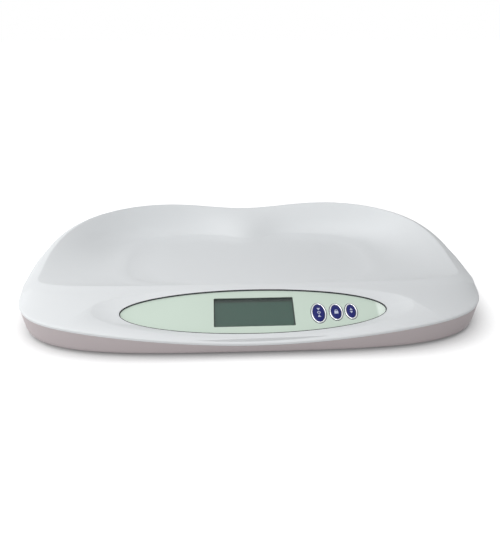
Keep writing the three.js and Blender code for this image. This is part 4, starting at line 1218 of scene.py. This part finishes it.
class BuildDisplay(bpy.types.Operator):
    """Builds the clear lens and the liquid crystal glass behind the window."""

    bl_idname = "baby_scale.build_display"
    bl_label = "Display"

    def execute(self, context):
        for name, top, thickness, finish, slot, node in (
            ("window_lens", LENS_TOP, LENS_THICKNESS, lens_finish(), "lens_clear", "display_lens"),
            ("display_glass", GLASS_TOP, GLASS_THICKNESS, display_finish(), "display_dark", "lcd_glass"),
        ):
            pane = slab(rounded_rectangle(0, 0, *GLASS, GAP), top - thickness, top)
            finished(softened(object_of(on_panel(pane), name), 0.15), finish, replaces=[node])
        return {"FINISHED"}


class BuildButtons(bpy.types.Operator):
    """Builds the three navy caps with their icons, and the bright bezels round them."""

    bl_idname = "baby_scale.build_buttons"
    bl_label = "Buttons and bezels"

    def execute(self, context):
        colours = context.scene.baby_scale_colours
        navy = moulded_finish("button_navy", colours.button, 0.3, 1400.0, 0.000004)
        navy.node_tree.nodes["Principled BSDF"].inputs["Specular IOR Level"].default_value = 0.25
        chrome = metal_finish("bezel_chrome", (0.84, 0.85, 0.88), 0.16)
        ink = moulded_finish("icon_ink", (0.60, 0.63, 0.78), 0.5, 1500.0, 0.000004)
        for button, icon in zip(BUTTONS, (tare_icon, hold_icon, unit_icon)):
            name = button[0]
            cap = object_of(on_panel(button_cap(button)), f"{name}_cap")
            mark = gathered([on_panel(solid) for solid in icon(button)])
            lifted = copy_of(cap, "lifted")
            rise = PANEL_MATRIX.to_3x3() @ Vector((0, 0, ICON_RISE * MM))
            lifted.data.transform(Matrix.Translation(rise))
            joined(mark, lifted, "INTERSECT")
            mark.name = mark.data.name = f"{name}_icon"
            finished(cap, navy, name, [name], crease=50)
            finished(mark, ink, name)
            inner, outer = SLIDE_GAP, SLIDE_GAP + BEZEL_WIDTH
            low = POCKET_FLOOR + GAP
            rows = [(inner, low), (outer, low), (outer, BEZEL_FOOT)]
            for angle in np.linspace(0, math.pi, BEZEL_STEPS)[1:-1]:
                across = (inner + outer) / 2 + BEZEL_WIDTH / 2 * math.cos(angle)
                rows.append((across, BEZEL_FOOT + (BEZEL_RISE - BEZEL_FOOT) * math.sin(angle)))
            rows.append((inner, BEZEL_FOOT))
            ring = band([level(button_outline(button, grow), z) for grow, z in rows])
            bezel = object_of(on_panel(ring), f"{name}_ring")
            finished(bezel, chrome, replaces=[f"{name}_bezel"], crease=50)
        return {"FINISHED"}


def button_cap(button):
    """A crowned cap on a straight shaft, with the flange that keeps it in its hole."""
    flange_top = PANEL_BACK - GAP
    flange_bottom = flange_top - BUTTON_FLANGE_HEIGHT
    rows = [
        level(button_outline(button, BUTTON_FLANGE), flange_bottom),
        level(button_outline(button, BUTTON_FLANGE), flange_top),
        level(button_outline(button, 0), flange_top),
    ]
    for angle in np.linspace(0, BUTTON_ARC, BUTTON_ARC_STEPS):
        high = BUTTON_SIDE + (BUTTON_CROWN - BUTTON_SIDE) * math.sin(angle)
        rows.append(level(button_outline(button, 0, math.cos(angle) ** BUTTON_FULLNESS), high))
    return lofted(rows)


def arrow(x, y, half_width, height):
    """A solid triangle whose point lies at the given height from its base; a negative height points down."""
    return slab(np.array([[x - half_width, y], [x + half_width, y], [x, y + height]]), *ICON_SPAN)


def hoop(x, y, outer, inner):
    """A round ring as tall as the icons."""
    low, high = ICON_SPAN
    corners = ((inner, low), (outer, low), (outer, high), (inner, high))
    return band([level(oval(x, y, radius, radius, count=40), z) for radius, z in corners])


def tare_icon(button):
    """A ring between two arrows that point at it."""
    _, x, y, _, _ = button
    outer, inner, away, length = 1.9, 1.15, 6.6, 3.4
    return [hoop(x, y, outer, inner), arrow(x, y + away, outer, -length), arrow(x, y - away, outer, length)]


def hold_icon(button):
    """A closed padlock."""
    _, x, y, _, _ = button
    rise, outer, inner = 1.0, 1.7, 1.0
    drop, width, height = 1.4, 4.4, 3.8
    return [hoop(x, y + rise, outer, inner), box(x, y - drop, *ICON_SPAN, width, height)]


def unit_icon(button):
    """Two arrows, up and down."""
    _, x, y, _, _ = button
    apart, half_width, length = 0.8, 1.7, 3.2
    return [arrow(x, y + apart, half_width, length), arrow(x, y - apart, half_width, -length)]


class BuildFeet(bpy.types.Operator):
    """Builds the rubber pads, their housings and the steel weighing plates."""

    bl_idname = "baby_scale.build_feet"
    bl_label = "Feet"

    def execute(self, context):
        rubber = moulded_finish("rubber_grey", (0.05, 0.05, 0.055), 0.75, 500.0, 0.00004)
        grey = plain_finish("base_grey")
        steel = metal_finish("steel", (0.60, 0.61, 0.63), 0.3)
        pad = [(0, 0)]
        for radius in PAD_GROOVES:
            pad += [(radius + out, depth) for out, depth in PAD_GROOVE]
        pad += [(PAD_RADIUS - PAD_CHAMFER, 0), (PAD_RADIUS, PAD_CHAMFER)]
        pad += [(PAD_RADIUS, PAD_HEIGHT), (0, PAD_HEIGHT)]
        inner, floor, peak = PAD_RADIUS + GAP, PAD_HEIGHT + GAP, SENSOR_BOTTOM - GAP
        shell = [
            (0, floor), (inner, floor), (inner, CUP_BOTTOM), (FOOT_RADIUS, CUP_BOTTOM),
            (FOOT_RADIUS, CUP_TOP), (CUP_CONE[0], CUP_TOP), (CUP_CONE[1], peak), (0, peak),
        ]
        for name in FEET:
            at = middle(f"foot_pad_{name}")
            piece = object_of(turned(eased(pad, 0.3), at.x, at.y, 96), f"pad_{name}")
            finished(piece, rubber, replaces=[f"foot_pad_{name}"], crease=50)
            piece = object_of(turned(eased(shell, 0.4), at.x, at.y, 96), f"foot_cup_{name}")
            finished(piece, grey, replaces=[f"foot_housing_{name}"], crease=50)
            refined(f"load_plate_{name}", f"weigh_plate_{name}", steel, 0.2)
        return {"FINISHED"}


def refined(node, name, finish, width, body=ROOT):
    """A piece in a node's place, merged from a copy of its mesh, with its edges eased."""
    piece = softened(copy_of(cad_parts[node], name), width)
    return finished(piece, finish, body, [node])


class BuildPower(bpy.types.Operator):
    """Builds the battery door, the four cells and their sprung terminals."""

    bl_idname = "baby_scale.build_power"
    bl_label = "Battery bay"

    def execute(self, context):
        width, depth, thickness = DOOR_SIZE
        plate = rounded_rectangle(0, DOOR_FRONT + depth / 2, width, depth, DOOR_CORNER)
        door = object_of(slab(plate, BASE_HEIGHT, BASE_HEIGHT + thickness), "battery_hatch")
        joined(door, along_x(BARREL_RADIUS, width, *HINGE), "UNION")
        joined(door, along_x(PIN_RADIUS, width + 2 * PIN_LENGTH, *HINGE), "UNION")
        long, deep, step = FINGER
        scoops = ((deep, step), (deep / 2, 2 * step))
        cut(door, [along_x(radius, long, DOOR_FRONT + place, BASE_HEIGHT) for radius, place in scoops])
        grey = plain_finish("base_grey")
        finished(softened(door, 0.3), grey, "battery_door", ["battery_door"])
        jacket = cell_finish()
        wide, half, (nub, rise), edge = CELL_RADIUS, CELL_LENGTH / 2, CELL_NUB, CELL_EDGE
        shoulder = half - rise
        floor, mouth, sunk = CELL_RECESS
        low, bottom, high, inwards = CELL_GROOVE
        profile = [
            (0, -half + sunk), (floor, -half + sunk), (mouth, -half), (wide - edge, -half),
            (wide, -half + edge), (wide, shoulder - low), (wide - inwards, shoulder - bottom),
            (wide, shoulder - high), (wide, shoulder - edge), (wide - edge, shoulder),
            (nub, shoulder), (nub, half), (0, half),
        ]
        for i in range(1, 5):
            turn = Matrix.Rotation(math.pi / 2 * (1 if i % 2 else -1), 4, "X")
            at = Matrix.Translation(middle(f"battery_{i}"))
            cell = object_of(moved(turned(eased(profile, 0.3)), at @ turn), f"cell_{i}")
            finished(cell, jacket, replaces=[f"battery_{i}"], crease=50)
        steel = plain_finish("steel")
        for name in ("rear_left", "rear_right", "front_middle", "front_plus", "front_minus"):
            refined(f"contact_{name}", f"terminal_{name}", steel, 0.12)
        return {"FINISHED"}


def screw(name, node, matrix, seat, radius, head, head_height, length):
    """A pan-head screw with a cross recess and a rolled thread, pointing up from its seat."""
    pitch, core = (radius * share for share in THREAD_SHARES)
    profile = [(0, seat - head_height), (head * HEAD_SHARES[0], seat - head_height)]
    profile += [(head, seat - head_height * HEAD_SHARES[1]), (head, seat), (core, seat)]
    z = seat + pitch / 2
    while z + pitch < seat + length - radius:
        profile += [(core, z), (radius, z + pitch / 2), (core, z + pitch)]
        z += pitch
    profile += [(core, seat + length - radius), (0, seat + length)]
    piece = object_of(moved(turned(eased(profile, 0.12, 2), segments=40), matrix), name)
    slot = head * CROSS_SHARE
    for width, depth in ((4 * slot, slot), (slot, 4 * slot)):
        cutter = box(0, 0, seat - 2 * head_height, seat - head_height / 2, width, depth)
        cut(piece, [moved(cutter, matrix)])
    return finished(piece, plain_finish("steel"), replaces=[node], crease=40)


class BuildScrews(bpy.types.Operator):
    """Builds the six case screws and the three board screws."""

    bl_idname = "baby_scale.build_screws"
    bl_label = "Screws"

    def execute(self, context):
        for i, node in enumerate(CASE_SCREWS, 1):
            at = middle(node)
            place = Matrix.Translation((at.x, at.y, 0))
            sizes = (SCREW_SEAT - GAP, SCREW_RADIUS, SCREW_HEAD, SCREW_HEAD_HEIGHT, SCREW_LENGTH)
            screw(f"case_fixing_{i}", node, place, *sizes)
        for i, (x, y) in enumerate(BOARD_POSTS, 1):
            place = PANEL_MATRIX @ Matrix.Translation((x, y, 0))
            sizes = (BOARD_BOTTOM - GAP, BOARD_SCREW_RADIUS, *BOARD_SCREW_HEAD, BOARD_SCREW_LENGTH)
            screw(f"board_fixing_{i}", f"board_screw_{i}", place, *sizes)
        return {"FINISHED"}


class BuildElectronics(bpy.types.Operator):
    """Builds the board, what it carries and the holder of the display."""

    bl_idname = "baby_scale.build_electronics"
    bl_label = "Electronics"

    def execute(self, context):
        black = moulded_finish("frame_black", (0.022, 0.022, 0.024), 0.5, 700.0, 0.00002)
        epoxy = moulded_finish("chip_black", (0.014, 0.014, 0.015), 0.42, 1200.0, 0.00001)
        cream = moulded_finish("connector_cream", (0.70, 0.64, 0.48), 0.45, 1000.0, 0.00001)
        refined("lcd_frame", "display_holder", black, 0.3)
        refined("contact_strip", "contact_rubber", strip_finish(), 0.15)
        refined("main_board", "circuit_board", board_finish(), 0.12)
        top = BOARD_BOTTOM - GAP
        (x, y), side, rise = CHIP_PLACE, CHIP_BODY, CHIP_HEIGHT
        body = object_of(on_panel(box(x, y, top - rise, top, side, side)), "processor")
        radius, sunk = CHIP_DOT
        dot = drum(x - side / 3, y + side / 3, top - 2 * rise, top - rise + sunk, radius)
        cut(body, [on_panel(dot)])
        finished(softened(body, 0.2), epoxy, replaces=["processor_chip"])
        long, wide, thin = CHIP_LEG
        legs = []
        for shift in (np.arange(10) - 4.5) * CHIP_PITCH:
            for out in (-(CHIP_SIZE - long) / 2, (CHIP_SIZE - long) / 2):
                legs.append((x + out, y + shift, top - thin, top, long, wide))
                legs.append((x + shift, y + out, top - thin, top, wide, long))
        finished(object_of(on_panel(cluster(legs)), "processor_legs"), plain_finish("steel"))
        (x, y), (radius, rise) = BUZZER_PLACE, BUZZER_SIZE
        low = top - rise
        can = [(out, low + depth) for out, depth in BUZZER_TOP]
        can += [(radius, low), (radius, top), (0, top)]
        sounder = object_of(on_panel(turned(eased(can, 0.3), x, y)), "sounder")
        finished(sounder, epoxy, replaces=["buzzer"])
        (x, y), (width, depth, rise) = SOCKET_PLACE, SOCKET_SIZE
        block = object_of(on_panel(box(x, y, top - rise, top, width, depth)), "socket")
        way_width, way_depth, sunk = SOCKET_WAY
        slit_width, left = SOCKET_SLIT
        for shift in (np.arange(5) - 2) * SOCKET_PITCH:
            way = box(x + shift, y, top - rise - 1, top - rise + sunk, way_width, way_depth)
            slit = box(x + shift, y + depth / 2, top - rise - 1, top - left, slit_width, slit_width)
            cut(block, [on_panel(way), on_panel(slit)])
        finished(softened(block, 0.15), cream, replaces=["lead_connector"])
        for name, *_ in BUTTONS:
            refined(f"{name}_switch", f"{name}_contact", epoxy, 0.25)
            refined(f"{name}_plunger", f"{name}_stem", cream, 0.25, name)
        return {"FINISHED"}


class BuildLeads(bpy.types.Operator):
    """Rounds the five leads."""

    bl_idname = "baby_scale.build_leads"
    bl_label = "Leads"

    def execute(self, context):
        sheath = moulded_finish("lead_white", (0.74, 0.74, 0.70), 0.45, 600.0, 0.00001)
        for name in (*FEET, "battery"):
            node = f"lead_{name}"
            piece = merged(copy_of(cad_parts[node], f"wire_{name}"))
            smooth = piece.modifiers.new("round", "SUBSURF")
            smooth.levels = smooth.render_levels = 2
            finished(piece, sheath, replaces=[node], crease=180)
        return {"FINISHED"}


class BabyScalePanel(bpy.types.Panel):
    """Lists the pieces of the scale."""

    bl_idname = "VIEW3D_PT_baby_scale"
    bl_label = "Baby scale"
    bl_space_type = "VIEW_3D"
    bl_region_type = "UI"
    bl_category = "Baby scale"

    def draw(self, context):
        for operator in OPERATORS:
            self.layout.operator(operator.bl_idname)


OPERATORS = (
    BuildStage, BuildShell, BuildBase, BuildFilm, BuildDisplay, BuildButtons, BuildFeet, BuildPower,
    BuildScrews, BuildElectronics, BuildLeads,
)
GROUPS = {
    "baby_scale_sizes": ScaleSizes,
    "baby_scale_colours": ScaleColours,
    "baby_scale_stage": ScaleStage,
}


def register():
    """Registers the classes and hangs the settings on the scene."""
    for cls in (*GROUPS.values(), *OPERATORS, BabyScalePanel):
        bpy.utils.register_class(cls)
    for name, group in GROUPS.items():
        setattr(bpy.types.Scene, name, PointerProperty(type=group))


def unregister():
    """Takes the settings and the classes away again."""
    for name in GROUPS:
        delattr(bpy.types.Scene, name)
    for cls in (BabyScalePanel, *reversed(OPERATORS), *reversed(tuple(GROUPS.values()))):
        bpy.utils.unregister_class(cls)


def main():
    """Registers the classes and builds every piece through its operator."""
    register()
    for operator in OPERATORS:
        module, name = operator.bl_idname.split(".")
        getattr(getattr(bpy.ops, module), name)()


if __name__ == "__main__":
    main()
